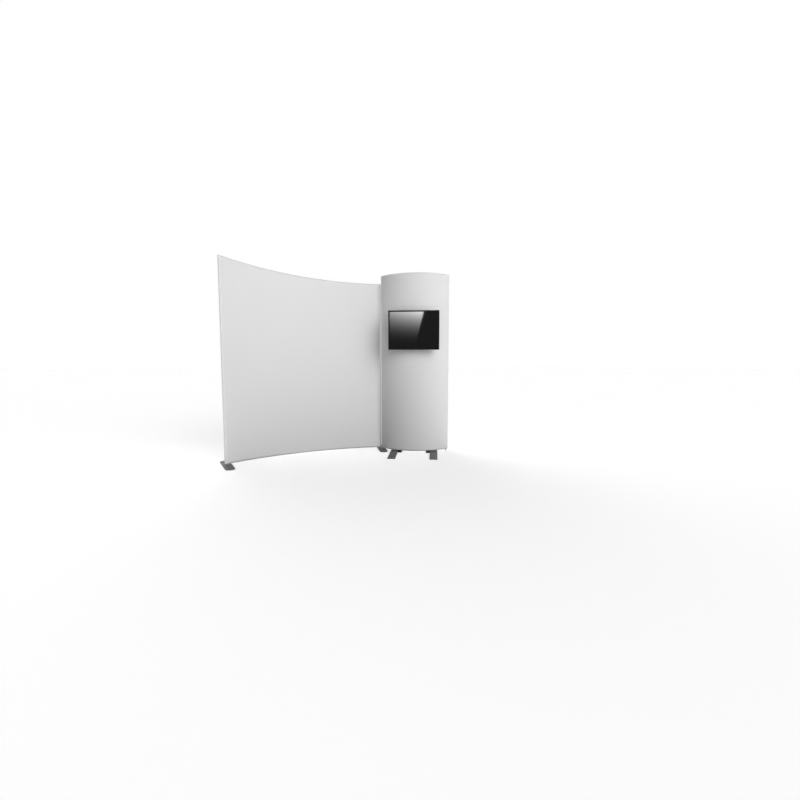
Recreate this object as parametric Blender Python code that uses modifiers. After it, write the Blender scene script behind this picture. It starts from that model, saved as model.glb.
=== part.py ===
"""Curved fabric backwall with a bowed screen column, modelled as its separate pieces.

Metres, +Z up. The viewer stands on the -Y side. The floor is z = 0. The wall frame bows
away from the viewer, the column frame bows towards the viewer, and each has a fabric
cover pulled over it like a pillowcase.
"""
import math
from dataclasses import dataclass

import bmesh
import bpy
from mathutils import Matrix, Vector

# Clearances
SEAT_GAP = 0.0003
SLIP_FIT = 0.0003
CUT_OVERRUN = 0.010
MERGE_DISTANCE = 0.00001

# Round things
ROUND_SIDES = 16
QUARTER_STEPS = ROUND_SIDES // 4
QUARTER_TURN = math.pi / 2

# Frame tube, its push-fit joints and the solid connectors at its corners
TUBE_RADIUS = 0.025
TUBE_WALL = 0.002
CONNECTOR_LEG = 0.042
SPIGOT_LENGTH = 0.040
SPIGOT_END_ROOM = 0.0027
SPIGOT_RADIUS = (TUBE_RADIUS - TUBE_WALL) * math.cos(math.pi / ROUND_SIDES) - SLIP_FIT
SWAGE_LENGTH = 0.090
SPLICE_HEIGHT = 1.190
BRANCH_RELIEF = 0.001

# Spring button that locks an upper tube on a lower one
BUTTON_RADIUS = 0.004
BUTTON_PROUD = 0.003
BUTTON_FLANGE_RADIUS = 0.006
BUTTON_FLANGE_THICKNESS = 0.0015
BUTTON_FLANGE_SET_IN = 0.0045

# Fabric covers
FABRIC_THICKNESS = 0.001
FABRIC_FIT = 0.0006
HEM_CLEARANCE = 0.018
SKIN_RADIUS = TUBE_RADIUS + FABRIC_FIT + FABRIC_THICKNESS
BOTTOM_AXIS = HEM_CLEARANCE + SKIN_RADIUS

# Zip fasteners
ZIP_TAPE_WIDTH = 0.026
ZIP_TAPE_THICKNESS = 0.0008
ZIP_TEETH_WIDTH = 0.006
ZIP_TEETH_HEIGHT = 0.0018
ZIP_END_MARGIN = 0.030
ZIP_SLIDER_WIDTH = 0.011
ZIP_SLIDER_LENGTH = 0.014
ZIP_SLIDER_HEIGHT = 0.003
ZIP_PULL_LENGTH = 0.034
ZIP_PULL_THICKNESS = 0.0014
ZIP_SLIDER_MARGIN = 0.075
BACK_ZIP_SLOT_WIDTH = 0.0206
BACK_ZIP_LOW = 0.120
BACK_ZIP_HIGH = 2.330

# Wall arc: the front fabric's radius and the two end uprights' angles
WALL_CENTRE = (-0.3456, -2.5607)
WALL_FRONT_RADIUS = 3.120
WALL_LEFT_ANGLE = math.radians(-20.0)
WALL_RIGHT_ANGLE = math.radians(19.1)
WALL_STEPS = 12
WALL_LOW_TOP = 2.3585
WALL_RISE = 0.1477
WALL_LOW_SHARE = 0.955

# Where the column's left end stands, seen from the wall's right end
JUNCTION_GAP = 0.0267
JUNCTION_HEADING = math.radians(17.8)

# Column arc: it faces the viewer, turned from the wall's middle
COLUMN_TURN = math.radians(-34.5)
COLUMN_FRONT_RADIUS = 0.636
COLUMN_HALF_ANGLE = math.radians(47.8)
COLUMN_STEPS = 12
COLUMN_TOP = 2.465

# Steel foot plates and the pins of the bottom corners
FOOT_THICKNESS = 0.008
FOOT_HALF_WIDTH = 0.057
FOOT_FRONT_REACH = 0.290
FOOT_BACK_REACH = 0.250
JUNCTION_FRONT_REACH = 0.280
PIN_SHOULDER_RADIUS = 0.009
PIN_RADIUS = 0.007
PIN_LIFT = 0.0005
COLUMN_FOOT_WIDTH = 0.105
COLUMN_FOOT_REACH = 0.431
COLUMN_FOOT_LENGTH = 0.637
COLUMN_FOOT_BEVEL = 0.0012

# Screen posts, their bolts and their black shoes
POST_FROM_END = 0.2564
POST_WIDTH = 0.030
POST_SLOT_WIDTH = 0.0082
POST_SLOT_DEPTH = 0.0085
SHOE_WIDTH = 0.055
SHOE_PROUD = 0.019
SHOE_LENGTH = 0.165
SHOE_BEVEL = 0.003
SHOE_WING_LENGTH = 0.065
SHOE_WING_WIDTH = 0.085
SHOE_SIDE_GAP = 0.0004
BOLT_RADIUS = 0.004
BOLT_HEAD_RADIUS = 0.007
BOLT_HEAD_HEIGHT = 0.0055
BOLT_HEAD_RECESS = 0.0075
BOLT_GRIP = 0.028

# Screen mount: arms through the fabric, a cross plate with ears, pivot knobs
SCREEN_HEIGHT_ABOVE_FLOOR = 1.684
MOUNT_GAP = 0.014
MOUNT_SHEET = 0.003
MOUNT_HEIGHT = 0.090
ARM_HEIGHT = 0.080
MOUNT_SIDE_MARGIN = 0.013
EAR_DEPTH = 0.040
PIVOT_DEPTH = 0.030
PIVOT_TO_SCREEN = 0.020
FABRIC_SLIT_MARGIN = 0.0035
RAIL_SIDE_GAP = 0.0005
RAIL_DEPTH = 0.0317
RAIL_FLANGE = 0.030
RAIL_LENGTH = 0.400
KNOB_RADIUS = 0.016
KNOB_THICKNESS = 0.014
KNOB_SHANK_END = 0.006
KNOB_LOBES = 6
KNOB_VALLEY_SHARE = 0.82

# Screen
SCREEN_WIDTH = 0.684
SCREEN_HEIGHT = 0.522
SHELL_DEPTH = 0.038
SHELL_WALL = 0.0025
SHELL_INSET = 0.001
SHELL_BEVEL = 0.008
BEZEL_WIDTH = 0.018
BEZEL_THICKNESS = 0.0045
GLASS_THICKNESS = 0.003
GLASS_SIDE_GAP = 0.0004
PANEL_THICKNESS = 0.012
PANEL_OVERLAP = 0.008
BOARD_WIDTH = 0.200
BOARD_HEIGHT = 0.120
BOARD_THICKNESS = 0.0016
BOARD_STANDOFF = 0.006
STANDOFF_RADIUS = 0.003
STANDOFF_INSET = 0.008
CHIP_SIZE = 0.030
CHIP_HEIGHT = 0.006
CHIP_SPACING = 0.055
BOARD_RIGHT_OF_MIDDLE = 0.020
BOARD_BELOW_MIDDLE = 0.080
INLET_WIDTH = 0.030
INLET_HEIGHT = 0.022
INLET_DEPTH = 0.018
INLET_FLANGE = 0.004
INLET_FLANGE_THICKNESS = 0.002
INLET_WALL = 0.003
INLET_LEFT_OF_MIDDLE = 0.120
INLET_BELOW_RAILS = 0.025
POWER_BUTTON_RADIUS = 0.005
POWER_BUTTON_PROUD = 0.0018
POWER_BUTTON_FLANGE = 0.002
POWER_BUTTON_FROM_EDGE = 0.060
POWER_BUTTON_DEPTH = 0.018

PARTS = bpy.data.collections.new("fabric_backwall")
CUTTERS = bpy.data.collections.new("cutters")


@dataclass(frozen=True)
class Finish:
    """A surface: linear colour, roughness and metallic share."""

    colour: tuple
    roughness: float
    metallic: float = 0.0


FABRIC = Finish((0.72, 0.72, 0.72), 0.9)
TUBE_ALUMINIUM = Finish((0.62, 0.63, 0.64), 0.35, 1.0)
CAST_GREY = Finish((0.30, 0.31, 0.32), 0.5, 0.8)
POWDER_GREY = Finish((0.12, 0.12, 0.125), 0.45, 0.6)
BLACK_PLASTIC = Finish((0.010, 0.010, 0.011), 0.45)
BLACK_STEEL = Finish((0.020, 0.020, 0.022), 0.4, 0.7)
ZIP_TAPE = Finish((0.60, 0.60, 0.60), 0.8)
ZIP_METAL = Finish((0.55, 0.55, 0.56), 0.3, 1.0)
SCREEN_GLASS = Finish((0.008, 0.008, 0.009), 0.05)
BOARD_GREEN = Finish((0.02, 0.12, 0.05), 0.5)
SPRING_STEEL = Finish((0.50, 0.50, 0.52), 0.25, 1.0)


@dataclass(frozen=True)
class Panel:
    """A bowed frame, in coordinates centred on its arc; the viewer is on the -Y side.

    side is +1 where the viewer stands inside the arc and -1 where outside it.
    """

    side: int
    radius: float
    left: float
    right: float
    steps: int
    low_top: float
    rise: float
    low_share: float

    def radial(self, share):
        angle = self.left + share * (self.right - self.left)
        return Vector((math.sin(angle), self.side * math.cos(angle), 0.0))

    def spigot_length(self):
        """Length of a spigot that ends before its tube's first bend."""
        bend = (self.right - self.left) / self.steps
        straight = 2 * self.radius * math.sin(bend / 2)
        return min(SPIGOT_LENGTH, straight - CONNECTOR_LEG - SPIGOT_END_ROOM)

    def slope(self, share):
        """Climb of the top edge for each metre along the arc."""
        length = self.radius * (self.right - self.left)
        return 2 * self.rise * (share - self.low_share) / (self.low_share ** 2 * length)

    def steepness(self, share):
        """Upright size of the skin radius where the top edge climbs."""
        return math.hypot(1.0, self.slope(share))

    def top_axis(self, share):
        """Height of the top tube's centre line."""
        climb = self.rise * ((share - self.low_share) / self.low_share) ** 2
        return self.low_top + climb - SKIN_RADIUS * self.steepness(share)

    def path(self, first, last, top=False):
        """Centre line of the top or bottom tube between two of its steps."""
        points = []
        for step in range(first, last + 1):
            share = step / self.steps
            point = self.radial(share) * self.radius
            point.z = self.top_axis(share) if top else BOTTOM_AXIS
            points.append(point)
        return points

    def place_at(self, x):
        """Point of the bottom tube's centre line at a side distance x, and its heading."""
        line = self.path(0, self.steps)
        for start, end in zip(line, line[1:]):
            if start.x <= x <= end.x:
                return start.lerp(end, (x - start.x) / (end.x - start.x)), (end - start).normalized()
        raise ValueError("no tube at this side distance")


WALL = Panel(1, WALL_FRONT_RADIUS + SKIN_RADIUS, WALL_LEFT_ANGLE, WALL_RIGHT_ANGLE, WALL_STEPS,
             WALL_LOW_TOP, WALL_RISE, WALL_LOW_SHARE)
COLUMN = Panel(-1, COLUMN_FRONT_RADIUS - SKIN_RADIUS, -COLUMN_HALF_ANGLE, COLUMN_HALF_ANGLE,
               COLUMN_STEPS, COLUMN_TOP, 0.0, 1.0)
POST_X = COLUMN.radius * math.sin(COLUMN_HALF_ANGLE) - POST_FROM_END
MOUNT_HALF_WIDTH = POST_X + POST_WIDTH / 2 + MOUNT_SIDE_MARGIN


def clear_scene():
    """Remove every object that is already in the scene."""
    for old in list(bpy.data.objects):
        bpy.data.objects.remove(old, do_unlink=True)


def make_empty(name, location, turn=0.0, parent=None):
    """Add an empty that carries pieces or marks a joint's axis."""
    empty = bpy.data.objects.new(name, None)
    empty.location = location
    empty.rotation_euler = (0.0, 0.0, turn)
    empty.parent = parent
    PARTS.objects.link(empty)
    return empty


def make_material(name, finish):
    """Make one piece's own material."""
    material = bpy.data.materials.new(name)
    material.use_nodes = True
    shader = material.node_tree.nodes["Principled BSDF"]
    shader.inputs["Base Color"].default_value = (*finish.colour, 1.0)
    shader.inputs["Roughness"].default_value = finish.roughness
    shader.inputs["Metallic"].default_value = finish.metallic
    return material


def add_object(name, mesh, parent, finish=None):
    """Link a mesh as a piece, or as a cutter where it has no finish."""
    piece = bpy.data.objects.new(name, mesh)
    piece.parent = parent
    if finish is None:
        CUTTERS.objects.link(piece)
        piece.hide_render = True
        piece.display_type = "WIRE"
    else:
        PARTS.objects.link(piece)
        mesh.materials.append(make_material(name, finish))
    return piece


def finish_mesh(work, name, smooth=False):
    """Turn a bmesh into a mesh whose faces point outwards."""
    bmesh.ops.recalc_face_normals(work, faces=work.faces[:])
    mesh = bpy.data.meshes.new(name)
    work.to_mesh(mesh)
    work.free()
    if smooth:
        shade_round(mesh)
    return mesh


def shade_round(mesh):
    """Shade smooth, with edges over 40 degrees kept sharp."""
    mesh.shade_smooth()
    mesh.set_sharp_from_angle(angle=math.radians(40))


def combine(piece, tool, operation):
    """Cut a piece with a tool, or join the tool to it."""
    step = piece.modifiers.new(f"{operation.lower()}_{tool.name}", "BOOLEAN")
    step.operation = operation
    step.solver = "EXACT"
    step.object = tool


def box(name, low, high, parent, finish=None, bevel=0.0):
    """Box between two corners."""
    low, high = Vector(low), Vector(high)
    work = bmesh.new()
    bmesh.ops.create_cube(work, size=1.0)
    bmesh.ops.scale(work, vec=high - low, verts=work.verts)
    if bevel:
        bmesh.ops.bevel(work, geom=work.edges[:], offset=bevel, segments=1, affect="EDGES")
    piece = add_object(name, finish_mesh(work, name), parent, finish)
    piece.location = (low + high) / 2
    return piece


def cylinder(name, radius, start, end, parent, finish=None):
    """Round bar between two points."""
    start, end = Vector(start), Vector(end)
    work = bmesh.new()
    bmesh.ops.create_cone(work, cap_ends=True, segments=ROUND_SIDES, radius1=radius,
                          radius2=radius, depth=(end - start).length)
    piece = add_object(name, finish_mesh(work, name, smooth=True), parent, finish)
    piece.location = (start + end) / 2
    piece.rotation_euler = (end - start).to_track_quat("Z", "X").to_euler()
    return piece


def turned(name, profile, parent, finish=None, closed=False):
    """Turn a profile of (radius, height) points, listed down its outer side."""
    mesh = bpy.data.meshes.new(name)
    edges = [(i, i + 1) for i in range(len(profile) - 1)]
    if closed:
        edges.append((len(profile) - 1, 0))
    mesh.from_pydata([(radius, 0.0, height) for radius, height in profile], edges, [])
    piece = add_object(name, mesh, parent, finish)
    screw = piece.modifiers.new("turn", "SCREW")
    screw.steps = ROUND_SIDES
    screw.render_steps = ROUND_SIDES
    screw.use_merge_vertices = True
    screw.merge_threshold = MERGE_DISTANCE
    return piece


def arc_points(centre, radius, first_angle, last_angle, steps):
    """Points along an arc in the ground plane, both ends included."""
    points = []
    for step in range(steps + 1):
        angle = first_angle + (last_angle - first_angle) * step / steps
        points.append((centre[0] + radius * math.cos(angle), centre[1] + radius * math.sin(angle)))
    return points


def circle_loop(centre, radius):
    """Closed loop of points for a round hole."""
    return arc_points(centre, radius, 0.0, 4 * QUARTER_TURN, ROUND_SIDES)[:-1]


def outlined(name, loops, low, high, parent, finish=None):
    """Flat outline, with any holes, filled and extruded from low to high."""
    curve = bpy.data.curves.new(name, "CURVE")
    curve.dimensions = "2D"
    curve.fill_mode = "BOTH"
    curve.extrude = (high - low) / 2
    for loop in loops:
        spline = curve.splines.new("POLY")
        spline.points.add(len(loop) - 1)
        for point, (x, y) in zip(spline.points, loop):
            point.co = (x, y, 0.0, 1.0)
        spline.use_cyclic_u = True
    outline = bpy.data.objects.new(name, curve)
    CUTTERS.objects.link(outline)
    bpy.context.view_layer.update()
    solid = outline.evaluated_get(bpy.context.evaluated_depsgraph_get())
    mesh = bpy.data.meshes.new_from_object(solid)
    bpy.data.objects.remove(outline, do_unlink=True)
    bpy.data.curves.remove(curve)
    work = bmesh.new()
    work.from_mesh(mesh)
    bpy.data.meshes.remove(mesh)
    bmesh.ops.remove_doubles(work, verts=work.verts, dist=MERGE_DISTANCE)
    piece = add_object(name, finish_mesh(work, name), parent, finish)
    piece.location.z = (low + high) / 2
    return piece


def start_disc(work, centre, heading, side, radius):
    """Add the round face that a sweep starts from, with a corner along side."""
    up = heading.cross(side)
    place = Matrix((side, up, heading)).transposed().to_4x4()
    place.translation = centre
    ring = bmesh.ops.create_circle(work, cap_ends=True, segments=ROUND_SIDES, radius=radius,
                                   matrix=place)
    return ring["verts"][0].link_faces[0]


def extrude(work, faces, keep_start=False):
    """Extrude a region of faces in place; return its new faces and points."""
    edges = list(dict.fromkeys(edge for face in faces for edge in face.edges))
    grown = bmesh.ops.extrude_face_region(work, geom=faces + edges, use_keep_orig=keep_start)
    new_faces = [item for item in grown["geom"] if isinstance(item, bmesh.types.BMFace)]
    new_points = [item for item in grown["geom"] if isinstance(item, bmesh.types.BMVert)]
    return new_faces, new_points


def sweep(work, faces, path):
    """Extrude faces along a path with mitred bends, and return the end faces."""
    heading = (path[1] - path[0]).normalized()
    for step, here in enumerate(path[1:], 1):
        after = (path[step + 1] - here).normalized() if step + 1 < len(path) else heading
        mitre = heading + after
        faces, points = extrude(work, faces, keep_start=step == 1)
        for point in points:
            point.co += heading * ((here - point.co).dot(mitre) / heading.dot(mitre))
        heading = after
    return faces


def bent_tube(name, path, parent):
    """Hollow round tube along a path."""
    work = bmesh.new()
    heading = (path[1] - path[0]).normalized()
    side = heading.cross(Vector((0.0, 0.0, 1.0))).normalized()
    disc = start_disc(work, path[0], heading, side, TUBE_RADIUS)
    ring = bmesh.ops.inset_region(work, faces=[disc], thickness=TUBE_WALL,
                                  use_boundary=True)["faces"]
    bmesh.ops.delete(work, geom=[disc], context="FACES_ONLY")
    sweep(work, ring, path)
    return add_object(name, finish_mesh(work, name, smooth=True), parent, TUBE_ALUMINIUM)


def connector(name, corner, first, second, spigot, parent):
    """Solid mitred joint between two tube directions, with a spigot for each tube."""
    work = bmesh.new()
    side = first.cross(second).normalized()
    path = [corner + first * CONNECTOR_LEG, corner, corner + second * CONNECTOR_LEG]
    start = start_disc(work, path[0], -first, side, TUBE_RADIUS)
    end = sweep(work, [start], path)[0]
    for face, outward in ((start, first), (end, second)):
        bmesh.ops.inset_region(work, faces=[face], thickness=TUBE_RADIUS - SPIGOT_RADIUS)
        _, tips = extrude(work, [face])
        bmesh.ops.translate(work, verts=tips, vec=outward * spigot)
    return add_object(name, finish_mesh(work, name, smooth=True), parent, CAST_GREY)


def inside_path(path):
    """The same centre line, stopped short of the connectors at its ends."""
    first = (path[1] - path[0]).normalized()
    last = (path[-2] - path[-1]).normalized()
    room = CONNECTOR_LEG + SEAT_GAP
    return [path[0] + first * room, *path[1:-1], path[-1] + last * room]


def plain_tube(name, foot, low, high, parent):
    """Straight hollow tube, upright over a point of the frame."""
    inner = TUBE_RADIUS - TUBE_WALL
    profile = [(TUBE_RADIUS, high), (TUBE_RADIUS, low), (inner, low), (inner, high)]
    tube = turned(name, profile, parent, TUBE_ALUMINIUM, closed=True)
    tube.location = (foot.x, foot.y, 0.0)
    return tube


def swaged_tube(name, foot, low, shoulder, parent):
    """Straight hollow tube whose top is drawn in to enter the tube above."""
    inner = TUBE_RADIUS - TUBE_WALL
    neck = SPIGOT_RADIUS
    tip = shoulder + SWAGE_LENGTH
    profile = [(neck, tip), (neck, shoulder), (TUBE_RADIUS, shoulder), (TUBE_RADIUS, low),
               (inner, low), (inner, shoulder - TUBE_WALL), (neck - TUBE_WALL, shoulder),
               (neck - TUBE_WALL, tip)]
    tube = turned(name, profile, parent, TUBE_ALUMINIUM, closed=True)
    tube.location = (foot.x, foot.y, 0.0)
    return tube


def snap_button(name, foot, inward, parent):
    """Spring button that stands out of both tubes of a splice, towards the frame's inside."""
    top = TUBE_RADIUS + BUTTON_PROUD
    flange_top = TUBE_RADIUS - TUBE_WALL - BUTTON_FLANGE_SET_IN
    flange_bottom = flange_top - BUTTON_FLANGE_THICKNESS
    profile = [(0.0, top), (BUTTON_RADIUS * 0.6, top - BUTTON_RADIUS * 0.15),
               (BUTTON_RADIUS, top - BUTTON_RADIUS * 0.6), (BUTTON_RADIUS, flange_top),
               (BUTTON_FLANGE_RADIUS, flange_top), (BUTTON_FLANGE_RADIUS, flange_bottom),
               (0.0, flange_bottom)]
    button = turned(name, profile, parent, SPRING_STEEL)
    button.location = (foot.x, foot.y, SPLICE_HEIGHT + SWAGE_LENGTH / 2)
    button.rotation_euler = inward.to_track_quat("Z", "X").to_euler()
    return button


def spliced_upright(prefix, foot, high, inward, parent):
    """Upright in two tubes that plug together and lock with a spring button."""
    low = BOTTOM_AXIS + CONNECTOR_LEG + SEAT_GAP
    lower = swaged_tube(f"{prefix}_lower", foot, low, SPLICE_HEIGHT, parent)
    upper = plain_tube(f"{prefix}_upper", foot, SPLICE_HEIGHT + SEAT_GAP, high, parent)
    snap_button(f"{prefix}_snap_button", foot, inward, parent)
    height = Vector((0.0, 0.0, SPLICE_HEIGHT + SWAGE_LENGTH / 2 - BOTTOM_AXIS))
    hole = cylinder(f"{prefix}_button_hole", BUTTON_RADIUS + SLIP_FIT, foot + height,
                    foot + height + inward * (TUBE_RADIUS + CUT_OVERRUN), parent)
    for tube in (lower, upper):
        combine(tube, hole, "DIFFERENCE")


def foot_pin(piece, foot, parent, through_plate):
    """Join a floor pin under a bottom corner; its shoulder rests on the foot plate."""
    profile = [(0.0, BOTTOM_AXIS), (PIN_SHOULDER_RADIUS, BOTTOM_AXIS)]
    if through_plate:
        seat = FOOT_THICKNESS + SEAT_GAP
        profile += [(PIN_SHOULDER_RADIUS, seat), (PIN_RADIUS, seat), (PIN_RADIUS, PIN_LIFT),
                    (0.0, PIN_LIFT)]
    else:
        profile += [(PIN_SHOULDER_RADIUS, 0.0), (0.0, 0.0)]
    pin = turned(f"{piece.name}_pin", profile, parent)
    pin.location = (foot.x, foot.y, 0.0)
    combine(piece, pin, "UNION")


def tee(name, line, upward, parent):
    """Connector at the middle of a rail, with a branch for the middle upright."""
    before, middle, after = line
    piece = connector(name, middle, (before - middle).normalized(),
                      (after - middle).normalized(), WALL.spigot_length(), parent)
    body = TUBE_RADIUS - BRANCH_RELIEF
    tip = CONNECTOR_LEG + SPIGOT_LENGTH
    profile = [(0.0, tip), (SPIGOT_RADIUS, tip), (SPIGOT_RADIUS, CONNECTOR_LEG),
               (body, CONNECTOR_LEG), (body, 0.0), (0.0, 0.0)]
    branch = turned(f"{name}_branch", profile, parent)
    branch.location = middle
    branch.rotation_euler.x = 0.0 if upward else 2 * QUARTER_TURN
    combine(piece, branch, "UNION")


class CoverSurface:
    """Places the points of a pillowcase cover that is drawn tight over a panel's tubes."""

    def __init__(self, panel):
        self.panel = panel
        self.columns = panel.steps + 2 * QUARTER_STEPS
        self.rows = 2 * QUARTER_STEPS
        self.top_line = panel.path(0, panel.steps, top=True)

    def station(self, column):
        """Point on the top tube's line, towards-front direction and rounding angle."""
        steps = self.panel.steps
        inner = min(max(column - QUARTER_STEPS, 0), steps)
        turn = min(column, self.columns - column, QUARTER_STEPS) * QUARTER_TURN / QUARTER_STEPS
        line = self.top_line
        point = line[inner].copy()
        front = self.panel.radial(inner / steps) * -self.panel.side
        stretch = 1 / math.cos((self.panel.right - self.panel.left) / steps / 2)
        if inner in (0, steps):
            beside = line[1] if inner == 0 else line[steps - 1]
            beyond = point - beside
            beyond /= beyond.xy.length
            point += beyond * SKIN_RADIUS * math.cos(turn)
            square = Vector((-beyond.y, beyond.x, 0.0))
            front = square * (1 if square.dot(front) > 0 else -1)
            stretch = 1.0
        return point, front * stretch, turn

    def place(self, column, row, face):
        """Point of the front (face +1) or back (face -1) skin."""
        point, front, turn = self.station(column)
        if row < QUARTER_STEPS:
            fold = (row + 1) * QUARTER_TURN / QUARTER_STEPS
            point.z = BOTTOM_AXIS - SKIN_RADIUS * math.cos(fold)
        else:
            fold = (self.rows - row) * QUARTER_TURN / QUARTER_STEPS
            share = min(max((column - QUARTER_STEPS) / self.panel.steps, 0.0), 1.0)
            point.z += SKIN_RADIUS * math.cos(fold) * self.panel.steepness(share)
        depth = SKIN_RADIUS * min(math.sin(turn), math.sin(fold))
        return point + front * depth * face

    def creases(self):
        """Pairs of grid places that the corners' mitre lines join."""
        for k in range(QUARTER_STEPS):
            for left in (True, False):
                ends = [(k, self.rows - k), (k + 1, self.rows - k - 1)]
                if k:
                    yield self.mirrored([(k, k - 1), (k + 1, k)], left)
                yield self.mirrored(ends, left)

    def mirrored(self, places, left):
        """The same grid places at the left or the right end."""
        return [(i if left else self.columns - i, j) for i, j in places]

    def add_skin(self, work, face):
        """Shape one flat grid into the front or back skin."""
        grid = bmesh.ops.create_grid(work, x_segments=self.columns, y_segments=self.rows,
                                     size=1.0)["verts"]
        at_place = {}
        for vert in grid:
            column = round((vert.co.x + 1) / 2 * self.columns)
            row = round((vert.co.y + 1) / 2 * self.rows)
            at_place[column, row] = vert
        for (column, row), vert in at_place.items():
            vert.co = self.place(column, row, face)
        for first, second in self.creases():
            bmesh.ops.connect_verts(work, verts=[at_place[first], at_place[second]])

    def build(self, name, parent):
        """Make the cover, open along its bottom, with the fabric's thickness."""
        work = bmesh.new()
        self.add_skin(work, 1)
        self.add_skin(work, -1)
        bmesh.ops.remove_doubles(work, verts=work.verts, dist=MERGE_DISTANCE)
        cover = add_object(name, finish_mesh(work, name, smooth=True), parent, FABRIC)
        wall = cover.modifiers.new("fabric", "SOLIDIFY")
        wall.thickness = FABRIC_THICKNESS
        wall.offset = -1.0
        wall.use_even_offset = True
        return cover


def zip_section():
    """Cross-section of a closed zip: flat tape with the row of teeth on its outer side."""
    tape, teeth = ZIP_TAPE_WIDTH / 2, ZIP_TEETH_WIDTH / 2
    outer = ZIP_TAPE_THICKNESS + ZIP_TEETH_HEIGHT
    return [(-tape, 0.0), (tape, 0.0), (tape, ZIP_TAPE_THICKNESS), (teeth, ZIP_TAPE_THICKNESS),
            (teeth, outer), (-teeth, outer), (-teeth, ZIP_TAPE_THICKNESS),
            (-tape, ZIP_TAPE_THICKNESS)]


def slider_section():
    """Side view of a zip slider with its pull lying along the teeth."""
    body, pull = ZIP_SLIDER_LENGTH / 2, ZIP_SLIDER_LENGTH / 2 + ZIP_PULL_LENGTH
    outer = ZIP_SLIDER_HEIGHT + ZIP_PULL_THICKNESS
    return [(-body, 0.0), (body, 0.0), (body, ZIP_SLIDER_HEIGHT), (pull, ZIP_SLIDER_HEIGHT),
            (pull, outer), (-body, outer)]


def wall_frame(parent):
    """Tubes, corners and tees of the wall."""
    middle = WALL.steps // 2
    up = Vector((0.0, 0.0, 1.0))
    for top, level in ((False, "bottom"), (True, "top")):
        line = WALL.path(0, WALL.steps, top)
        bent_tube(f"wall_{level}_rail_left", inside_path(line[:middle + 1]), parent)
        bent_tube(f"wall_{level}_rail_right", inside_path(line[middle:]), parent)
        tee(f"wall_{level}_tee", line[middle - 1:middle + 2], not top, parent)
        for end, near, side in ((line[0], line[1], "left"), (line[-1], line[-2], "right")):
            corner = connector(f"wall_corner_{level}_{side}", end, -up if top else up,
                               (near - end).normalized(), WALL.spigot_length(), parent)
            if not top:
                foot_pin(corner, end, parent, through_plate=True)
    bottom = WALL.path(0, WALL.steps)
    places = (("left", bottom[0], bottom[1]), ("middle", bottom[middle], bottom[middle + 1]),
              ("right", bottom[-1], bottom[-2]))
    for (side, foot, near), share in zip(places, (0.0, middle / WALL.steps, 1.0)):
        high = WALL.top_axis(share) - CONNECTOR_LEG - SEAT_GAP
        spliced_upright(f"wall_{side}_upright", foot, high, (near - foot).normalized(), parent)


def wall_zip(parent):
    """Zip that closes the wall cover under its bottom rail, and its slider."""
    line = WALL.path(0, WALL.steps)
    first, last = (line[1] - line[0]).normalized(), (line[-2] - line[-1]).normalized()
    margin = PIN_SHOULDER_RADIUS + ZIP_END_MARGIN
    path = [line[0] + first * margin, *line[1:-1], line[-1] + last * margin]
    drop = Vector((0.0, 0.0, TUBE_RADIUS + SEAT_GAP))
    path = [point - drop for point in path]
    work = bmesh.new()
    side = first.cross(Vector((0.0, 0.0, 1.0)))
    corners = [work.verts.new(path[0] + side * x - Vector((0.0, 0.0, y))) for x, y in zip_section()]
    sweep(work, [work.faces.new(corners)], path)
    add_object("wall_zip_tape", finish_mesh(work, "wall_zip_tape"), parent, ZIP_TAPE)

    slider = slider_body("wall_zip_slider", parent)
    depth = TUBE_RADIUS + ZIP_TAPE_THICKNESS + ZIP_TEETH_HEIGHT + 2 * SEAT_GAP
    at_rest = line[-1] + last * (margin + ZIP_SLIDER_MARGIN) - Vector((0.0, 0.0, depth))
    heading = last.to_track_quat("X", "Z").to_matrix().to_4x4()
    flat = Matrix.Rotation(QUARTER_TURN * 3, 4, "X")
    slider.data.transform(Matrix.Translation(at_rest) @ heading @ flat)


def slider_body(name, parent):
    """Zip slider, its side view in XY and its width along Z, centred on its body."""
    half = ZIP_SLIDER_WIDTH / 2
    return outlined(name, [slider_section()], -half, half, parent, ZIP_METAL)


def flat_foot(name, holes, front, back, parent):
    """Flat steel foot plate with round ends, its origin on its first pin."""
    width = FOOT_HALF_WIDTH
    outline = arc_points((0.0, width - front), width, 2 * QUARTER_TURN, 4 * QUARTER_TURN,
                         ROUND_SIDES // 2)
    outline += arc_points((0.0, back - width), width, 0.0, 2 * QUARTER_TURN, ROUND_SIDES // 2)
    loops = [outline] + [circle_loop(hole, PIN_RADIUS + SLIP_FIT) for hole in holes]
    return outlined(name, loops, 0.0, FOOT_THICKNESS, parent, POWDER_GREY)


def wall_feet(parent, column_end):
    """Turning foot at the wall's free end and the shared foot at the column."""
    left = flat_foot("wall_left_foot_plate", [(0.0, 0.0)], FOOT_FRONT_REACH, FOOT_BACK_REACH,
                     parent)
    pin = WALL.path(0, 0)[0]
    left.location.x, left.location.y = pin.x, pin.y

    wall_end = WALL.path(WALL.steps, WALL.steps)[0]
    middle = (wall_end + column_end) / 2
    turn = Matrix.Rotation(WALL.right, 4, "Z")
    holes = [(turn @ (point - middle)).xy for point in (wall_end, column_end)]
    shared = flat_foot("junction_foot_plate", holes, JUNCTION_FRONT_REACH, FOOT_BACK_REACH,
                       parent)
    shared.location.x, shared.location.y = middle.x, middle.y
    shared.rotation_euler.z = -WALL.right


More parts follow.
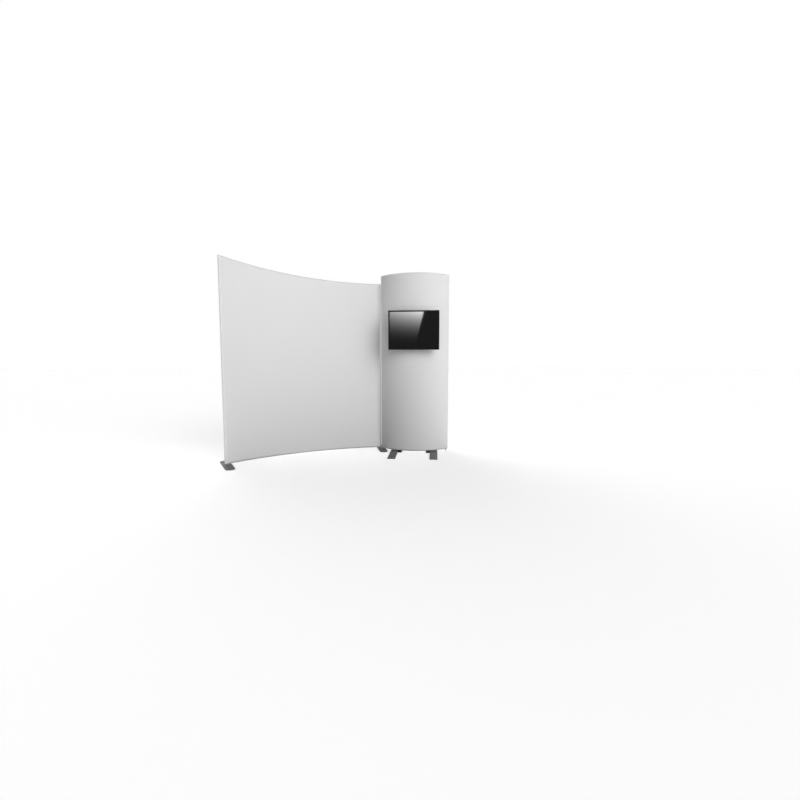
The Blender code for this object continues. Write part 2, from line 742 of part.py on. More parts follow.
def column_frame(parent):
    """Tubes and corners of the column."""
    up = Vector((0.0, 0.0, 1.0))
    for top, level in ((False, "bottom"), (True, "top")):
        line = COLUMN.path(0, COLUMN.steps, top)
        rail = bent_tube(f"column_{level}_rail", inside_path(line), parent)
        if not top:
            for side in (-1, 1):
                combine(rail, bolt_passage(side, parent), "DIFFERENCE")
        for end, near, side in ((line[0], line[1], "left"), (line[-1], line[-2], "right")):
            corner = connector(f"column_corner_{level}_{side}", end, -up if top else up,
                               (near - end).normalized(), COLUMN.spigot_length(), parent)
            if not top:
                foot_pin(corner, end, parent, through_plate=side == "left")
    low = BOTTOM_AXIS + CONNECTOR_LEG + SEAT_GAP
    high = COLUMN.top_axis(0.0) - CONNECTOR_LEG - SEAT_GAP
    ends = COLUMN.path(0, COLUMN.steps)
    for side, foot in (("left", ends[0]), ("right", ends[-1])):
        plain_tube(f"column_{side}_upright", foot, low, high, parent)


def side_name(side):
    """Left or right as the viewer sees it."""
    return "left" if side < 0 else "right"


def bolt_passage(side, parent):
    """Round cutter for the post bolt, through the shoe, the bottom rail and the post."""
    name = f"column_{side_name(side)}_bolt_passage"
    if name in bpy.data.objects:
        return bpy.data.objects[name]
    foot, _ = COLUMN.place_at(side * POST_X)
    top = BOTTOM_AXIS + TUBE_RADIUS + BOLT_GRIP + CUT_OVERRUN
    return cylinder(name, BOLT_RADIUS + SLIP_FIT, (foot.x, foot.y, -CUT_OVERRUN),
                    (foot.x, foot.y, top), parent)


def post_outline():
    """Slotted square section of a screen post."""
    half, slot, inner = POST_WIDTH / 2, POST_SLOT_WIDTH / 2, POST_WIDTH / 2 - POST_SLOT_DEPTH
    side = [(half, -half), (half, -slot), (inner, -slot), (inner, slot), (half, slot)]
    return [((x, y), (-y, x), (-x, -y), (y, -x))[quarter] for quarter in range(4) for x, y in side]


def screen_post(side, parent):
    """Post between the column's rails, saddled on both and bolted to the lower one."""
    name = f"column_{side_name(side)}_post"
    foot, heading = COLUMN.place_at(side * POST_X)
    rails = BOTTOM_AXIS, COLUMN.top_axis(0.5)
    post = outlined(name, [post_outline()], rails[0], rails[1], parent, TUBE_ALUMINIUM)
    post.location.x, post.location.y = foot.x, foot.y
    reach = heading * (POST_WIDTH + CUT_OVERRUN)
    for level, height in zip(("bottom", "top"), rails):
        centre = Vector((foot.x, foot.y, height))
        saddle = cylinder(f"{name}_{level}_saddle", TUBE_RADIUS + SEAT_GAP, centre - reach,
                          centre + reach, parent)
        saddle.rotation_euler = (heading.to_track_quat("Z", "Y")).to_euler()
        combine(post, saddle, "DIFFERENCE")
    combine(post, bolt_passage(side, parent), "DIFFERENCE")


def post_bolt(side, parent):
    """Bolt up through the shoe and the rail into the post's core."""
    foot, _ = COLUMN.place_at(side * POST_X)
    under_head = BOLT_HEAD_RECESS - SEAT_GAP
    low = under_head - BOLT_HEAD_HEIGHT
    tip = BOTTOM_AXIS + TUBE_RADIUS + BOLT_GRIP
    profile = [(0.0, tip), (BOLT_RADIUS, tip), (BOLT_RADIUS, under_head),
               (BOLT_HEAD_RADIUS, under_head), (BOLT_HEAD_RADIUS, low), (0.0, low)]
    bolt = turned(f"column_{side_name(side)}_post_bolt", profile, parent, SPRING_STEEL)
    bolt.location = (foot.x, foot.y, 0.0)


def post_shoe(side, parent):
    """Black shoe under the bottom rail, with a wing over the foot plate beside it."""
    name = f"column_{side_name(side)}_shoe"
    foot, _ = COLUMN.place_at(side * POST_X)
    half = SHOE_WIDTH / 2
    top = BOTTOM_AXIS - TUBE_RADIUS - SEAT_GAP
    front = -COLUMN_FRONT_RADIUS - SHOE_PROUD
    back = front + SHOE_LENGTH
    shoe = box(name, (foot.x - half, front, 0.0), (foot.x + half, back, top), parent,
               BLACK_PLASTIC, SHOE_BEVEL)
    across = sorted((foot.x, foot.x + side * (half + SHOE_WING_WIDTH)))
    wing = box(f"{name}_wing", (across[0], back - SHOE_WING_LENGTH, FOOT_THICKNESS + SEAT_GAP),
               (across[1], back - SHOE_BEVEL, top - SHOE_BEVEL), parent)
    combine(shoe, wing, "UNION")
    recess = cylinder(f"{name}_recess", BOLT_HEAD_RADIUS + SLIP_FIT,
                      (foot.x, foot.y, -CUT_OVERRUN), (foot.x, foot.y, BOLT_HEAD_RECESS), parent)
    combine(shoe, recess, "DIFFERENCE")
    combine(shoe, bolt_passage(side, parent), "DIFFERENCE")


def column_foot(side, parent):
    """Long flat foot plate beside a shoe, reaching far forward of the fabric."""
    foot, _ = COLUMN.place_at(side * POST_X)
    near = foot.x + side * (SHOE_WIDTH / 2 + SHOE_SIDE_GAP)
    across = sorted((near, near + side * COLUMN_FOOT_WIDTH))
    front = -COLUMN_FRONT_RADIUS - COLUMN_FOOT_REACH
    box(f"column_{side_name(side)}_foot_plate", (across[0], front, 0.0),
        (across[1], front + COLUMN_FOOT_LENGTH, FOOT_THICKNESS), parent, POWDER_GREY,
        COLUMN_FOOT_BEVEL)


def back_zip(cover, parent):
    """Upright zip in the column cover's back skin, and its slider."""
    middle_step = COLUMN.steps // 2
    line = COLUMN.path(middle_step - 1, middle_step)
    heading = (line[1] - line[0]).normalized()
    middle = (line[0] + line[1]) / 2
    outward = Vector((-heading.y, heading.x, 0.0))
    turn = math.atan2(heading.y, heading.x)
    skin = middle + outward * (SKIN_RADIUS - FABRIC_THICKNESS)
    half = BACK_ZIP_SLOT_WIDTH / 2
    slot = box("column_zip_slot", (-half, -CUT_OVERRUN, BACK_ZIP_LOW),
               (half, CUT_OVERRUN, BACK_ZIP_HIGH), parent)
    slot.location.x, slot.location.y = skin.x, skin.y
    slot.rotation_euler.z = turn
    combine(cover, slot, "DIFFERENCE")

    shrink = (half - SEAT_GAP) / (ZIP_TAPE_WIDTH / 2)
    section = [(x * shrink if abs(x) > ZIP_TEETH_WIDTH / 2 else x, y) for x, y in zip_section()]
    tape = outlined("column_zip_tape", [section], BACK_ZIP_LOW + SEAT_GAP,
                    BACK_ZIP_HIGH - SEAT_GAP, parent, ZIP_TAPE)
    tape.location.x, tape.location.y = skin.x, skin.y
    tape.rotation_euler.z = turn

    slider = slider_body("column_zip_slider", parent)
    upright = Matrix.Rotation(QUARTER_TURN, 4, "Y") @ Matrix.Rotation(2 * QUARTER_TURN, 4, "X")
    slider.data.transform(Matrix.Rotation(2 * QUARTER_TURN, 4, "Z") @ upright)
    depth = ZIP_TAPE_THICKNESS + ZIP_TEETH_HEIGHT + SEAT_GAP
    spot = skin + outward * depth
    slider.location = (spot.x, spot.y, BACK_ZIP_LOW + ZIP_SLIDER_MARGIN)
    slider.rotation_euler.z = turn


def mount_back():
    """Distance of the mount's cross plate in front of the column's centre."""
    return COLUMN_FRONT_RADIUS + MOUNT_GAP


def mount_arm(side, cover, parent):
    """Arm from a post's front face out through a slit in the fabric."""
    name = f"mount_{side_name(side)}_arm"
    foot, _ = COLUMN.place_at(side * POST_X)
    half = POST_WIDTH / 2
    back = foot.y - half - SEAT_GAP
    front = SEAT_GAP - mount_back()
    inner, outer, web = foot.x - side * half, foot.x + side * half, foot.x - side * (half - MOUNT_SHEET)
    outline = [(inner, back), (outer, back), (outer, back - MOUNT_SHEET), (web, back - MOUNT_SHEET),
               (web, front + MOUNT_SHEET), (outer, front + MOUNT_SHEET), (outer, front),
               (inner, front)]
    low = SCREEN_HEIGHT_ABOVE_FLOOR - ARM_HEIGHT / 2
    outlined(name, [outline], low, low + ARM_HEIGHT, parent, BLACK_STEEL)
    across = sorted((inner - side * FABRIC_SLIT_MARGIN, web + side * FABRIC_SLIT_MARGIN))
    slit = box(f"{name}_slit", (across[0], -COLUMN_FRONT_RADIUS, low - FABRIC_SLIT_MARGIN),
               (across[1], back, low + ARM_HEIGHT + FABRIC_SLIT_MARGIN), parent)
    combine(cover, slit, "DIFFERENCE")


def mount_plate(parent):
    """Cross plate in front of the fabric, with an ear bent forward at each end."""
    back = -mount_back()
    front = back - MOUNT_SHEET
    tip = back - EAR_DEPTH
    outer, inner = MOUNT_HALF_WIDTH, MOUNT_HALF_WIDTH - MOUNT_SHEET
    outline = [(-outer, tip), (-inner, tip), (-inner, front), (inner, front), (inner, tip),
               (outer, tip), (outer, back), (-outer, back)]
    low = SCREEN_HEIGHT_ABOVE_FLOOR - MOUNT_HEIGHT / 2
    plate = outlined("mount_cross_plate", [outline], low, low + MOUNT_HEIGHT, parent, BLACK_STEEL)
    pivot = (back - PIVOT_DEPTH, SCREEN_HEIGHT_ABOVE_FLOOR)
    hole = cylinder("mount_pivot_hole", BOLT_RADIUS + SLIP_FIT, (-outer - CUT_OVERRUN, *pivot),
                    (outer + CUT_OVERRUN, *pivot), parent)
    combine(plate, hole, "DIFFERENCE")
    return hole


def mount_knob(side, parent):
    """Lobed knob whose shank is the pivot of the screen's tilt."""
    name = f"mount_{side_name(side)}_knob"
    seat = MOUNT_HALF_WIDTH + SEAT_GAP
    inside = MOUNT_HALF_WIDTH - 2 * MOUNT_SHEET - RAIL_SIDE_GAP - KNOB_SHANK_END
    work = bmesh.new()
    bmesh.ops.create_cone(work, cap_ends=True, segments=4 * KNOB_LOBES, radius1=KNOB_RADIUS,
                          radius2=KNOB_RADIUS, depth=KNOB_THICKNESS)
    for vert in work.verts:
        lobe = math.cos(KNOB_LOBES * math.atan2(vert.co.y, vert.co.x))
        share = (1 + KNOB_VALLEY_SHARE + (1 - KNOB_VALLEY_SHARE) * lobe) / 2
        vert.co.x, vert.co.y = vert.co.x * share, vert.co.y * share
        vert.co.z += seat + KNOB_THICKNESS / 2
    knob = add_object(name, finish_mesh(work, name, smooth=True), parent, BLACK_PLASTIC)
    shank = cylinder(f"{name}_shank", BOLT_RADIUS, (0.0, 0.0, inside),
                     (0.0, 0.0, seat + KNOB_THICKNESS / 2), knob)
    combine(knob, shank, "UNION")
    knob.location = (0.0, -mount_back() - PIVOT_DEPTH, SCREEN_HEIGHT_ABOVE_FLOOR)
    knob.rotation_euler.y = side * QUARTER_TURN


def screen_rail(side, pivot_hole, tilt):
    """Upright channel on the screen's back that hangs on the pivot."""
    name = f"screen_{side_name(side)}_rail"
    outer = side * (MOUNT_HALF_WIDTH - MOUNT_SHEET - RAIL_SIDE_GAP)
    web, inner = outer - side * MOUNT_SHEET, outer - side * RAIL_FLANGE
    front = SEAT_GAP - PIVOT_TO_SCREEN
    back = front + RAIL_DEPTH
    outline = [(inner, front), (outer, front), (outer, back), (web, back),
               (web, front + MOUNT_SHEET), (inner, front + MOUNT_SHEET)]
    rail = outlined(name, [outline], -RAIL_LENGTH / 2, RAIL_LENGTH / 2, tilt, BLACK_STEEL)
    combine(rail, pivot_hole, "DIFFERENCE")


def rectangle(width, height):
    """Closed loop for a rectangle centred on the origin."""
    return [(-width / 2, -height / 2), (width / 2, -height / 2), (width / 2, height / 2),
            (-width / 2, height / 2)]


def rear_shell(tilt):
    """Open-fronted back case of the screen."""
    work = bmesh.new()
    bmesh.ops.create_cube(work, size=1.0)
    size = (SCREEN_WIDTH - 2 * SHELL_INSET, SHELL_DEPTH, SCREEN_HEIGHT - 2 * SHELL_INSET)
    bmesh.ops.scale(work, vec=size, verts=work.verts)
    front = [face for face in work.faces if face.normal.y < -0.5]
    bmesh.ops.delete(work, geom=front, context="FACES_ONLY")
    edges = [edge for edge in work.edges if len(edge.link_faces) == 2]
    bmesh.ops.bevel(work, geom=edges, offset=SHELL_BEVEL, segments=2, profile=0.5,
                    affect="EDGES")
    shell = add_object("screen_rear_shell", finish_mesh(work, "screen_rear_shell"), tilt,
                       BLACK_PLASTIC)
    shell.location.y = -PIVOT_TO_SCREEN - SHELL_DEPTH / 2
    wall = shell.modifiers.new("wall", "SOLIDIFY")
    wall.thickness = SHELL_WALL
    wall.offset = -1.0
    wall.use_even_offset = True
    return shell


def screen_front(tilt):
    """Bezel, glass and display panel."""
    face = -PIVOT_TO_SCREEN - SHELL_DEPTH - SEAT_GAP
    opening = SCREEN_WIDTH - 2 * BEZEL_WIDTH, SCREEN_HEIGHT - 2 * BEZEL_WIDTH
    loops = [rectangle(SCREEN_WIDTH, SCREEN_HEIGHT), rectangle(*opening)]
    bezel = outlined("screen_bezel", loops, 0.0, BEZEL_THICKNESS, tilt, BLACK_PLASTIC)
    bezel.rotation_euler.x = QUARTER_TURN
    bezel.location = (0.0, face - BEZEL_THICKNESS / 2, 0.0)

    half = opening[0] / 2 - GLASS_SIDE_GAP, opening[1] / 2 - GLASS_SIDE_GAP
    glass_back = face + SEAT_GAP
    box("screen_glass", (-half[0], glass_back - GLASS_THICKNESS, -half[1]),
        (half[0], glass_back, half[1]), tilt, SCREEN_GLASS)
    half = opening[0] / 2 + PANEL_OVERLAP, opening[1] / 2 + PANEL_OVERLAP
    front = glass_back + SEAT_GAP
    box("screen_display_panel", (-half[0], front, -half[1]),
        (half[0], front + PANEL_THICKNESS, half[1]), tilt, POWDER_GREY)


def main_board(tilt):
    """Circuit board on four stand-offs inside the rear shell."""
    back = -PIVOT_TO_SCREEN - SHELL_WALL - SEAT_GAP
    x, z = BOARD_RIGHT_OF_MIDDLE, -BOARD_BELOW_MIDDLE
    seat = back - BOARD_STANDOFF
    half = BOARD_WIDTH / 2, BOARD_HEIGHT / 2
    board = box("screen_main_board", (x - half[0], seat - BOARD_THICKNESS, z - half[1]),
                (x + half[0], seat, z + half[1]), tilt, BOARD_GREEN)
    for i, j in ((-1, -1), (1, -1), (1, 1), (-1, 1)):
        leg = (x + i * (half[0] - STANDOFF_INSET), z + j * (half[1] - STANDOFF_INSET))
        standoff = cylinder(f"board_standoff_{i}_{j}", STANDOFF_RADIUS,
                            (leg[0], back, leg[1]), (leg[0], seat - BOARD_THICKNESS / 2, leg[1]), tilt)
        combine(board, standoff, "UNION")
    for count in (-1, 0, 1):
        centre = x + count * CHIP_SPACING
        chip = box(f"board_chip_{count}",
                   (centre - CHIP_SIZE / 2, seat - BOARD_THICKNESS / 2, z - CHIP_SIZE / 2),
                   (centre + CHIP_SIZE / 2, seat + CHIP_HEIGHT - BOARD_THICKNESS / 2,
                    z + CHIP_SIZE / 2), tilt)
        combine(board, chip, "UNION")


def inlet_box(name, margin, back, front, tilt, finish=None):
    """Box round the mains socket's middle, margin wider than the socket on each side."""
    half = INLET_WIDTH / 2 + margin, INLET_HEIGHT / 2 + margin
    x, z = -INLET_LEFT_OF_MIDDLE, -RAIL_LENGTH / 2 - INLET_BELOW_RAILS
    return box(name, (x - half[0], front, z - half[1]), (x + half[0], back, z + half[1]), tilt,
               finish)


def power_inlet(shell, tilt):
    """Mains socket in the back of the shell."""
    back = -PIVOT_TO_SCREEN
    seat, bottom = back + SEAT_GAP, back - INLET_DEPTH
    inlet = inlet_box("screen_power_inlet", 0.0, seat + INLET_FLANGE_THICKNESS / 2, bottom, tilt,
                      BLACK_PLASTIC)
    flange = inlet_box("inlet_flange", INLET_FLANGE, seat + INLET_FLANGE_THICKNESS, seat, tilt)
    combine(inlet, flange, "UNION")
    recess = inlet_box("inlet_recess", -INLET_WALL, back + CUT_OVERRUN, bottom + INLET_WALL, tilt)
    combine(inlet, recess, "DIFFERENCE")
    hole = inlet_box("inlet_hole", SLIP_FIT, back + CUT_OVERRUN, back - CUT_OVERRUN, tilt)
    combine(shell, hole, "DIFFERENCE")


def power_button(shell, tilt):
    """Push button in the underside of the shell."""
    under = SHELL_INSET - SCREEN_HEIGHT / 2
    seat = under + SHELL_WALL + SEAT_GAP
    profile = [(0.0, seat + POWER_BUTTON_FLANGE),
               (POWER_BUTTON_RADIUS + POWER_BUTTON_FLANGE, seat + POWER_BUTTON_FLANGE),
               (POWER_BUTTON_RADIUS + POWER_BUTTON_FLANGE, seat), (POWER_BUTTON_RADIUS, seat),
               (POWER_BUTTON_RADIUS, under - POWER_BUTTON_PROUD), (0.0, under - POWER_BUTTON_PROUD)]
    button = turned("screen_power_button", profile, tilt, BLACK_PLASTIC)
    x = SCREEN_WIDTH / 2 - POWER_BUTTON_FROM_EDGE
    y = -PIVOT_TO_SCREEN - POWER_BUTTON_DEPTH
    button.location = (x, y, 0.0)
    hole = cylinder("power_button_hole", POWER_BUTTON_RADIUS + SLIP_FIT,
                    (x, y, under - CUT_OVERRUN), (x, y, under + CUT_OVERRUN), tilt)
    combine(shell, hole, "DIFFERENCE")


def build_wall(parent, column_end):
    """Everything that carries the wall's arc."""
    wall_frame(parent)
    CoverSurface(WALL).build("wall_cover", parent)
    wall_zip(parent)
    wall_feet(parent, column_end)


def build_column(parent):
    """Column frame, cover, posts and feet."""
    column_frame(parent)
    cover = CoverSurface(COLUMN).build("column_cover", parent)
    back_zip(cover, parent)
    for side in (-1, 1):
        screen_post(side, parent)
        post_bolt(side, parent)
        post_shoe(side, parent)
        column_foot(side, parent)
        mount_arm(side, cover, parent)
        mount_knob(side, parent)


def build_screen(parent):
    """Screen on its tilting mount."""
    pivot_hole = mount_plate(parent)
    tilt = make_empty("screen_tilt_axis", (0.0, -mount_back() - PIVOT_DEPTH,
                                           SCREEN_HEIGHT_ABOVE_FLOOR), parent=parent)
    for side in (-1, 1):
        screen_rail(side, pivot_hole, tilt)
    shell = rear_shell(tilt)
    screen_front(tilt)
    main_board(tilt)
    power_inlet(shell, tilt)
    power_button(shell, tilt)


def main():
    """Build the whole backwall."""
    clear_scene()
    for group in (PARTS, CUTTERS):
        bpy.context.scene.collection.children.link(group)
    wall_centre = make_empty("wall_centre", (*WALL_CENTRE, 0.0))
    spacing = 2 * SKIN_RADIUS + JUNCTION_GAP
    heading = Vector((math.sin(JUNCTION_HEADING), -math.cos(JUNCTION_HEADING), 0.0))
    column_end = WALL.path(WALL.steps, WALL.steps)[0] + heading * spacing
    to_end = Matrix.Rotation(COLUMN_TURN, 3, "Z") @ COLUMN.path(0, 0)[0]
    place = Vector((*WALL_CENTRE, 0.0)) + column_end - to_end
    column_centre = make_empty("column_centre", place, COLUMN_TURN)
    build_wall(wall_centre, column_end)
    build_column(column_centre)
    build_screen(column_centre)


main()
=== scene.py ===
"""Dressed model of a curved white fabric backwall with a bowed column that carries a screen.

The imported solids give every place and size. Here the pieces that show are modelled finely over
them, and every piece gets its finish. Metres, +Z up; the viewer stands on the -Y side.
"""

import functools
import logging
import math
from collections.abc import Callable, Iterator
from contextlib import contextmanager
from dataclasses import dataclass
from enum import Enum

import bmesh
import bpy
from mathutils import Matrix, Vector


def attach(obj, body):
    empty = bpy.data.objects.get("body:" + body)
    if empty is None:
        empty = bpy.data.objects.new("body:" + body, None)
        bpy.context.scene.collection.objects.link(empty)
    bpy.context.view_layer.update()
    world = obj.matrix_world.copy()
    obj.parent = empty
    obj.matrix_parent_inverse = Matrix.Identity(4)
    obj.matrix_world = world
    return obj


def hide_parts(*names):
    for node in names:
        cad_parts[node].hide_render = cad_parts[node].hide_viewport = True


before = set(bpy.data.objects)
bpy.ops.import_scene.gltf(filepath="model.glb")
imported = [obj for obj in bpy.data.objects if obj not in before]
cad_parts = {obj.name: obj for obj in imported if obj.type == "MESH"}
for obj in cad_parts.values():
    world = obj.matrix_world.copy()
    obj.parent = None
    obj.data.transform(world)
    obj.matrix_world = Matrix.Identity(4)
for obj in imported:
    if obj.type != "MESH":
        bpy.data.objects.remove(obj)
LOG = logging.getLogger("backwall")
UP = Vector((0.0, 0.0, 1.0))
QUARTER = math.pi / 2
MERGE = 0.00001
PLAIN_WHITE = (1.0, 1.0, 1.0, 1.0)

# Air between two pieces that lie against each other.
GAP = 0.0003

# How far a cutter reaches past what it cuts through.
OVERRUN = 0.01

# Angle over which a cut edge is eased, while the round sides beside it stay as they are.
SHARP = math.radians(60)

# Flat left at the end of a round-ended plate or slot, so that its corners don't meet.
END_FLAT = 0.0001

# Width and height of the cloth that each cover is cut from, and its area, unstretched.
WALL_CLOTH = (4.40, 2.50)
WALL_CLOTH_AREA = 10.35
COLUMN_CLOTH = (2.10, 2.46)
COLUMN_CLOTH_AREA = 5.10

Pair = tuple[float, float]
Colour = tuple[float, float, float]
Point = tuple[float, float, float]
Piece = bpy.types.Object
Socket = bpy.types.NodeSocket


class Pick(Enum):
    """What an edit works on."""

    POINTS = ("VERT", "verts")
    EDGES = ("EDGE", "edges")
    FACES = ("FACE", "faces")


class Side(Enum):
    """Left or right as the viewer sees it."""

    LEFT = -1
    RIGHT = 1

    @property
    def word(self) -> str:
        """The side's name in the names of nodes."""
        return self.name.lower()


class Face(Enum):
    """The front or the back skin of a cover."""

    FRONT = 1
    BACK = -1


class Bench:
    """Hand tools that shape one piece at a time."""

    @staticmethod
    def pick(*pieces: Piece) -> None:
        """Select these pieces alone, the first one active.

        Args:
            *pieces: The pieces, at least one.
        """
        bpy.ops.object.select_all(action="DESELECT")
        for piece in pieces:
            piece.select_set(True)
        bpy.context.view_layer.objects.active = pieces[0]

    @staticmethod
    def settle(name: str) -> Piece:
        """Name the new primitive and move its place into its mesh.

        Args:
            name: The piece's name.

        Returns:
            The piece, its object at the origin.
        """
        piece = bpy.context.object
        piece.name = name
        piece.data.name = name
        Bench.pick(piece)
        bpy.ops.object.transform_apply(location=True, rotation=True, scale=True)
        return piece

    @staticmethod
    def block(name: str, low: Point, high: Point) -> Piece:
        """Box between two corners.

        Args:
            name: The piece's name.
            low: Its lowest corner.
            high: Its highest corner.

        Returns:
            The box.
        """
        low, high = Vector(low), Vector(high)
        bpy.ops.object.select_all(action="DESELECT")
        bpy.ops.mesh.primitive_cube_add(size=1.0, location=(low + high) / 2, scale=high - low)
        return Bench.settle(name)

    @staticmethod
    def rod(name: str, start: Point, end: Point, radius: float, sides: int = 32) -> Piece:
        """Round bar between two points.

        Args:
            name: The piece's name.
            start: Middle of one end.
            end: Middle of the other end.
            radius: Half its thickness.
            sides: Number of faces round it.

        Returns:
            The bar.
        """
        start, end = Vector(start), Vector(end)
        bpy.ops.object.select_all(action="DESELECT")
        turn = (end - start).to_track_quat("Z", "X").to_euler()
        bpy.ops.mesh.primitive_cylinder_add(vertices=sides, radius=radius, rotation=turn,
                                            depth=(end - start).length,
                                            location=(start + end) / 2)
        return Bench.settle(name)

    @staticmethod
    def plate(name: str, size: Pair, thickness: float, corner: float,
              ease: float = 0.0, steps: int = 8) -> Piece:
        """Flat plate in XY from z 0 up, with rounded corners and eased edges.

        Args:
            name: The piece's name.
            size: Its length along X and along Y.
            thickness: Its height.
            corner: Radius of the four corners.
            ease: Radius of the edges round both faces.
            steps: Segments in each corner.

        Returns:
            The plate, centred on the origin.
        """
        bpy.ops.object.select_all(action="DESELECT")
        bpy.ops.mesh.primitive_plane_add(size=1.0)
        bpy.context.object.scale = (*size, 1.0)
        piece = Bench.settle(name)
        with Bench.shaping(piece, Pick.POINTS):
            bpy.ops.mesh.bevel(offset=corner, segments=steps, affect="VERTICES",
                               clamp_overlap=True)
            bpy.ops.mesh.select_all(action="SELECT")
            bpy.ops.mesh.remove_doubles(threshold=MERGE)
            bpy.ops.mesh.extrude_region_move(
                TRANSFORM_OT_translate={"value": (0.0, 0.0, thickness)})
            bpy.ops.mesh.select_all(action="SELECT")
            bpy.ops.mesh.normals_make_consistent(inside=False)
        if ease:
            Bench.ease(piece, ease, angle=SHARP)
        return piece

    @staticmethod
    @contextmanager
    def shaping(piece: Piece, pick: Pick,
                test: Callable[[object], bool] = lambda item: True) -> Iterator[None]:
        """Enter edit mode with only the parts chosen that pass a test.

        Args:
            piece: The piece to shape.
            pick: Whether points, edges or faces are chosen.
            test: Says of each one whether it is chosen.

        Yields:
            Nothing; the operators inside the block work on what is chosen.
        """
        mode, kind = pick.value
        Bench.pick(piece)
        bpy.ops.object.mode_set(mode="EDIT")
        bpy.ops.mesh.select_mode(type=mode)
        bpy.ops.mesh.select_all(action="DESELECT")
        work = bmesh.from_edit_mesh(piece.data)
        for item in getattr(work, kind):
            if test(item):
                item.select_set(True)
        work.select_flush_mode()
        bmesh.update_edit_mesh(piece.data)
        yield
        bpy.ops.object.mode_set(mode="OBJECT")

    @staticmethod
    def modify(piece: Piece, kind: str, **settings: object) -> None:
        """Add a modifier with these settings and apply it.

        Args:
            piece: The piece.
            kind: The modifier's type.
            **settings: Its settings by name.
        """
        Bench.pick(piece)
        step = piece.modifiers.new(kind.lower(), kind)
        for key, value in settings.items():
            setattr(step, key, value)
        bpy.ops.object.modifier_apply(modifier=step.name)

    @staticmethod
    def ease(piece: Piece, width: float, segments: int = 2,
             angle: float = math.radians(40)) -> None:
        """Round every edge that is sharper than an angle."""
        Bench.modify(piece, "BEVEL", width=width, segments=segments, limit_method="ANGLE",
                     angle_limit=angle)

    @staticmethod
    def cut(piece: Piece, *cutters: Piece) -> None:
        """Cut the cutters' shapes out of a piece and throw the cutters away.

        Args:
            piece: The piece that is cut.
            *cutters: The shapes to cut away.
        """
        for cutter in cutters:
            Bench.modify(piece, "BOOLEAN", operation="DIFFERENCE", solver="EXACT",
                         object=cutter)
            bpy.data.objects.remove(cutter, do_unlink=True)

    @staticmethod
    def join(name: str, *pieces: Piece) -> Piece:
        """Make one piece of several.

        Args:
            name: The joined piece's name.
            *pieces: The pieces, the first one kept.

        Returns:
            The one piece.
        """
        Bench.pick(*pieces)
        if len(pieces) > 1:
            bpy.ops.object.join()
        pieces[0].name = name
        pieces[0].data.name = name
        return pieces[0]

    @staticmethod
    def repeat(name: str, model: Piece, places: list[Matrix]) -> Piece:
        """Copy a small model to many places, as one piece.

        Args:
            name: The new piece's name.
            model: The shape to copy, which is removed afterwards.
            places: Where each copy goes.

        Returns:
            One piece that holds all the copies.
        """
        work = bmesh.new()
        for place in places:
            copy = model.data.copy()
            copy.transform(place)
            work.from_mesh(copy)
            bpy.data.meshes.remove(copy)
        bpy.data.objects.remove(model, do_unlink=True)
        return Bench.keep(name, work)

    @staticmethod
    def link(name: str, mesh: bpy.types.Mesh) -> Piece:
        """Put a mesh in the scene as a piece.

        Args:
            name: The piece's name.
            mesh: Its mesh.

        Returns:
            The piece.
        """
        piece = bpy.data.objects.new(name, mesh)
        bpy.context.scene.collection.objects.link(piece)
        return piece

    @staticmethod
    def keep(name: str, work: bmesh.types.BMesh) -> Piece:
        """Turn faces that were laid one by one into a piece.

        Args:
            name: The piece's name.
            work: Its faces, which are freed.

        Returns:
            The piece.
        """
        mesh = bpy.data.meshes.new(name)
        work.to_mesh(mesh)
        work.free()
        return Bench.link(name, mesh)

    @staticmethod
    def net(work: bmesh.types.BMesh, layer: bmesh.types.BMLayerItem,
            lines: list[list[Vector]], spots: list[list[Pair]],
            turned: bool = False) -> None:
        """Lay four-sided faces over neighbouring lines of points.

        Args:
            work: The faces so far.
            layer: The UV that they carry.
            lines: The points, line by line, as many in each.
            spots: Each point's place on the UV.
            turned: Whether the faces point the other way.
        """
        grid = [[work.verts.new(point) for point in line] for line in lines]
        for i in range(len(grid) - 1):
            for j in range(len(grid[i]) - 1):
                ring = [(i, j), (i + 1, j), (i + 1, j + 1), (i, j + 1)]
                if turned:
                    ring.reverse()
                quad = work.faces.new([grid[a][b] for a, b in ring])
                for loop, (a, b) in zip(quad.loops, ring):
                    loop[layer].uv = spots[a][b]

    @staticmethod
    def shift(piece: Piece, x: float, y: float, z: float) -> Piece:
        """Move a piece's mesh."""
        piece.data.transform(Matrix.Translation((x, y, z)))
        return piece

    @staticmethod
    def stand(piece: Piece, x: float, y: float, z: float) -> Piece:
        """Stand a flat piece up, its top towards the viewer, and move it."""
        piece.data.transform(Matrix.Translation((x, y, z)) @ Matrix.Rotation(QUARTER, 4, "X"))
        return piece

    @staticmethod
    def put(piece: Piece, place: Matrix, sharp: float = math.radians(35),
            level: bool = True) -> Piece:
        """Move a shaped piece to its place in the row and smooth its round faces.

        Args:
            piece: The piece, shaped round its own origin.
            place: Where it goes.
            sharp: Angle over which an edge stays sharp.
            level: Whether its flat faces keep mirroring flat beside eased edges.

        Returns:
            The same piece.
        """
        piece.data.transform(place)
        piece.data.update()
        Bench.pick(piece)
        bpy.ops.object.shade_smooth_by_angle(angle=sharp)
        if level:
            Bench.modify(piece, "WEIGHTED_NORMAL", keep_sharp=True, weight=100)
        return piece


